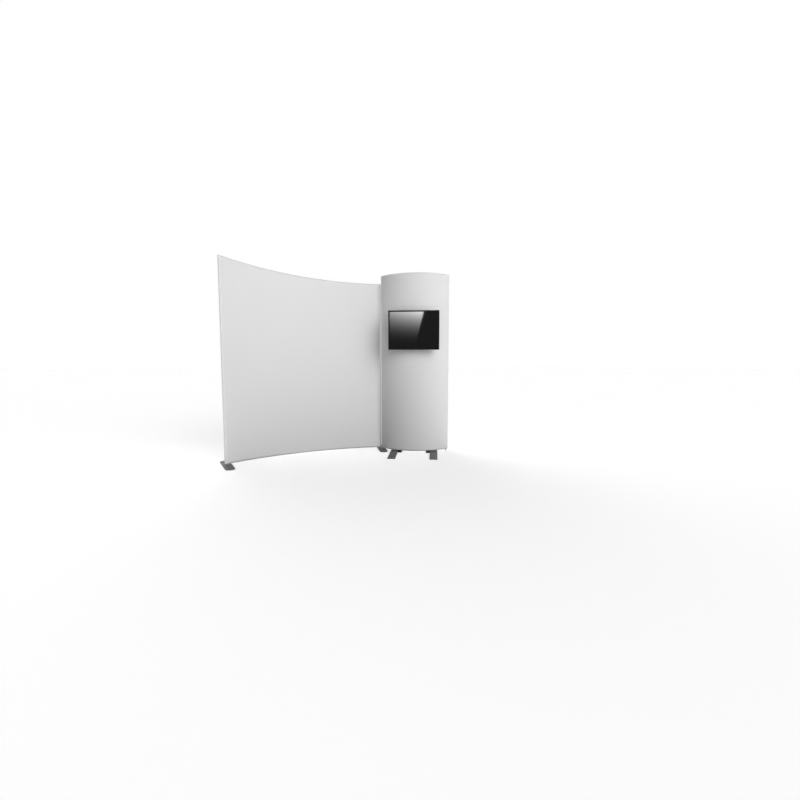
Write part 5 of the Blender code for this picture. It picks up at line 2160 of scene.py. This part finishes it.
    def button(self) -> Piece:
        """Round push button with a dished face.

        Returns:
            The dressed button.
        """
        under = self.shell_inset - self.height / 2
        seat = under + self.shell_wall + GAP
        x, y = self.button_x, self.button_y
        cap = Bench.rod("cap", (x, y, under - self.button_proud), (x, y, seat),
                        self.button_radius, 32)
        Bench.ease(cap, self.button_ease, 3)
        with Bench.shaping(cap, Pick.FACES, lambda face: face.normal.z < -0.99):
            bpy.ops.mesh.inset(thickness=self.button_rim)
            bpy.ops.mesh.inset(thickness=self.button_dish[0], depth=self.button_dish[1])
        flange = Bench.rod("flange", (x, y, seat), (x, y, seat + self.flange_thickness),
                           self.flange_radius, 32)
        piece = Bench.join("screen_push_button", cap, flange)
        Bench.put(piece, self.place)
        return Surface.PLASTIC.dress(piece, "power_button", "screen_power_button")

    def build(self, mount: ScreenMount) -> list[Piece]:
        """Make every piece of the screen that shows.

        Args:
            mount: The mount that its rails hang on.

        Returns:
            The dressed pieces.
        """
        Surface.PANEL.coat("screen_display_panel")
        Surface.BOARD.coat("screen_main_board")
        return [self.shell(), *self.front(), self.inlet(), self.button(),
                *(self.rail(side, mount) for side in Side)]


@dataclass(frozen=True)
class Reflection:
    """Bright card that only glossy rays see, mirrored in the screen with a slanted edge."""

    edge_top: Pair = (0.132, 0.243)
    edge_low: Pair = (0.018, -0.225)
    left: float = -0.34
    high: float = 0.28
    behind: float = 4.0
    strength_left: float = 44.0
    strength_right: float = 104.0
    fade: float = 3.2

    def corners(self, screen: FlatScreen, camera: PhotoCamera) -> list[Vector]:
        """Corners of the card, where the glass mirrors them to the camera.

        Args:
            screen: The screen whose glass mirrors it.
            camera: The camera that sees it.

        Returns:
            Top left, top right, low right and low left, in the row.
        """
        glass = screen.back - screen.shell_depth - screen.glass_thickness
        eye = screen.place.inverted() @ Vector(camera.place)
        image = Vector((eye.x, 2 * glass - eye.y, eye.z))
        (x_top, z_top), (x_low, z_low) = self.edge_top, self.edge_low
        lean = (x_top - x_low) / (z_top - z_low)
        seen_at = [(self.left, self.high), (x_top + lean * (self.high - z_top), self.high),
                   (x_low, z_low), (self.left, z_low)]
        rays = [Vector((x, glass, z)) - image for x, z in seen_at]
        return [screen.place @ (image + ray * (1 - self.behind / ray.y)) for ray in rays]

    def build(self, screen: FlatScreen, camera: PhotoCamera) -> None:
        """Stand the card in front of the screen.

        Args:
            screen: The screen whose glass mirrors it.
            camera: The camera that sees it.
        """
        points = self.corners(screen, camera)
        mesh = bpy.data.meshes.new("reflection_card")
        mesh.from_pydata(points, [], [(0, 1, 2, 3)])
        card = Bench.link("reflection_card", mesh)
        for ray in ("camera", "diffuse", "transmission", "volume_scatter", "shadow"):
            setattr(card, f"visible_{ray}", False)
        graph = ShaderGraph(bpy.data.materials.new("card_light"))
        rise = self.share(graph, points[3], points[0])
        across = self.share(graph, points[0], points[1])
        level = self.strength_left + (self.strength_right - self.strength_left) * across
        glow = graph.node("ShaderNodeEmission", None, Color=PLAIN_WHITE,
                          Strength=1 + rise ** self.fade * level)
        mesh.materials.append(graph.close(glow.outputs[0]))

    @staticmethod
    def share(graph: ShaderGraph, start: Vector, end: Vector) -> Signal:
        """How far a point lies from a start towards an end.

        Args:
            graph: The card's material.
            start: Where the share is 0.
            end: Where the share is 1.

        Returns:
            The share, held between 0 and 1.
        """
        run = (end - start) / (end - start).length_squared
        away = graph.node("ShaderNodeVectorMath", {"operation": "SUBTRACT"}, _0=graph.place(),
                          _1=start)
        node = graph.node("ShaderNodeVectorMath", {"operation": "DOT_PRODUCT"},
                          _0=away.outputs[0], _1=run)
        return graph.maths("ADD", Signal(graph, node.outputs["Value"]), 0.0, clamp=True)


def inner_frame() -> None:
    """Finish the tubes, joints, posts and small parts that stay as solids."""
    uprights = [f"wall_{place}_upright" for place in ("left", "middle", "right")]
    Surface.TUBE.coat(*(f"{upright}_{part}" for upright in uprights
                        for part in ("lower", "upper")))
    Surface.SPRING.coat(*(f"{upright}_snap_button" for upright in uprights))
    Surface.TUBE.coat("column_top_rail", "column_bottom_rail")
    for side in Side:
        Surface.TUBE.coat(f"column_{side.word}_upright", f"column_{side.word}_post",
                          f"wall_top_rail_{side.word}", f"wall_bottom_rail_{side.word}")
        Surface.SPRING.coat(f"column_{side.word}_post_bolt")
        for level in ("top", "bottom"):
            Surface.CAST.coat(f"wall_corner_{level}_{side.word}",
                              f"column_corner_{level}_{side.word}")
    Surface.CAST.coat("wall_top_tee", "wall_bottom_tee")


@dataclass(frozen=True)
class ArmSlits:
    """The two slits in the column's front skin that the screen's arms come out of."""

    near: float = 0.17655
    far: float = 0.18655
    front: float = -0.66
    back: float = -0.59
    low: float = 1.6405
    high: float = 1.7275

    def corners(self) -> list[tuple[Point, Point]]:
        """Lowest and highest corner of each slit.

        Returns:
            The left slit's corners, then the right one's.
        """
        slits = []
        for side in Side:
            left, right = sorted((side.value * self.near, side.value * self.far))
            slits.append(((left, self.front, self.low), (right, self.back, self.high)))
        return slits


def covers() -> list[Piece]:
    """Make both covers with their zips.

    Returns:
        The covers and all that is sewn to them.
    """
    wall = StretchCover("wall_cover", WALL, [])
    wall_tubes = ["wall_top_rail_left", "wall_top_rail_right", "wall_left_upright_upper",
                  "wall_right_upright_upper"]
    pieces = wall.build(WALL_CLOTH, WALL_CLOTH_AREA, wall_tubes, HemZip().fastener().build())
    back_zip = BackZip()
    column = StretchCover("column_cover", COLUMN, ArmSlits().corners(), back_zip.slot())
    column_tubes = ["column_top_rail", "column_left_upright", "column_right_upright"]
    return pieces + column.build(COLUMN_CLOTH, COLUMN_CLOTH_AREA, column_tubes,
                                 back_zip.fastener().build())


def main() -> None:
    """Build the camera and the studio, then the object from the floor up."""
    logging.basicConfig(level=logging.INFO, format="%(name)s %(message)s")
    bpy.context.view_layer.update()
    camera = PhotoCamera()
    camera.build()
    Studio().build()
    inner_frame()
    pieces = FootPlates().build() + Shoes().build() + covers()
    mount = ScreenMount()
    screen = FlatScreen()
    pieces += mount.build() + screen.build(mount)
    Reflection().build(screen, camera)
    LOG.info("%d new pieces in all", len(pieces))


if __name__ == "__main__":
    main()
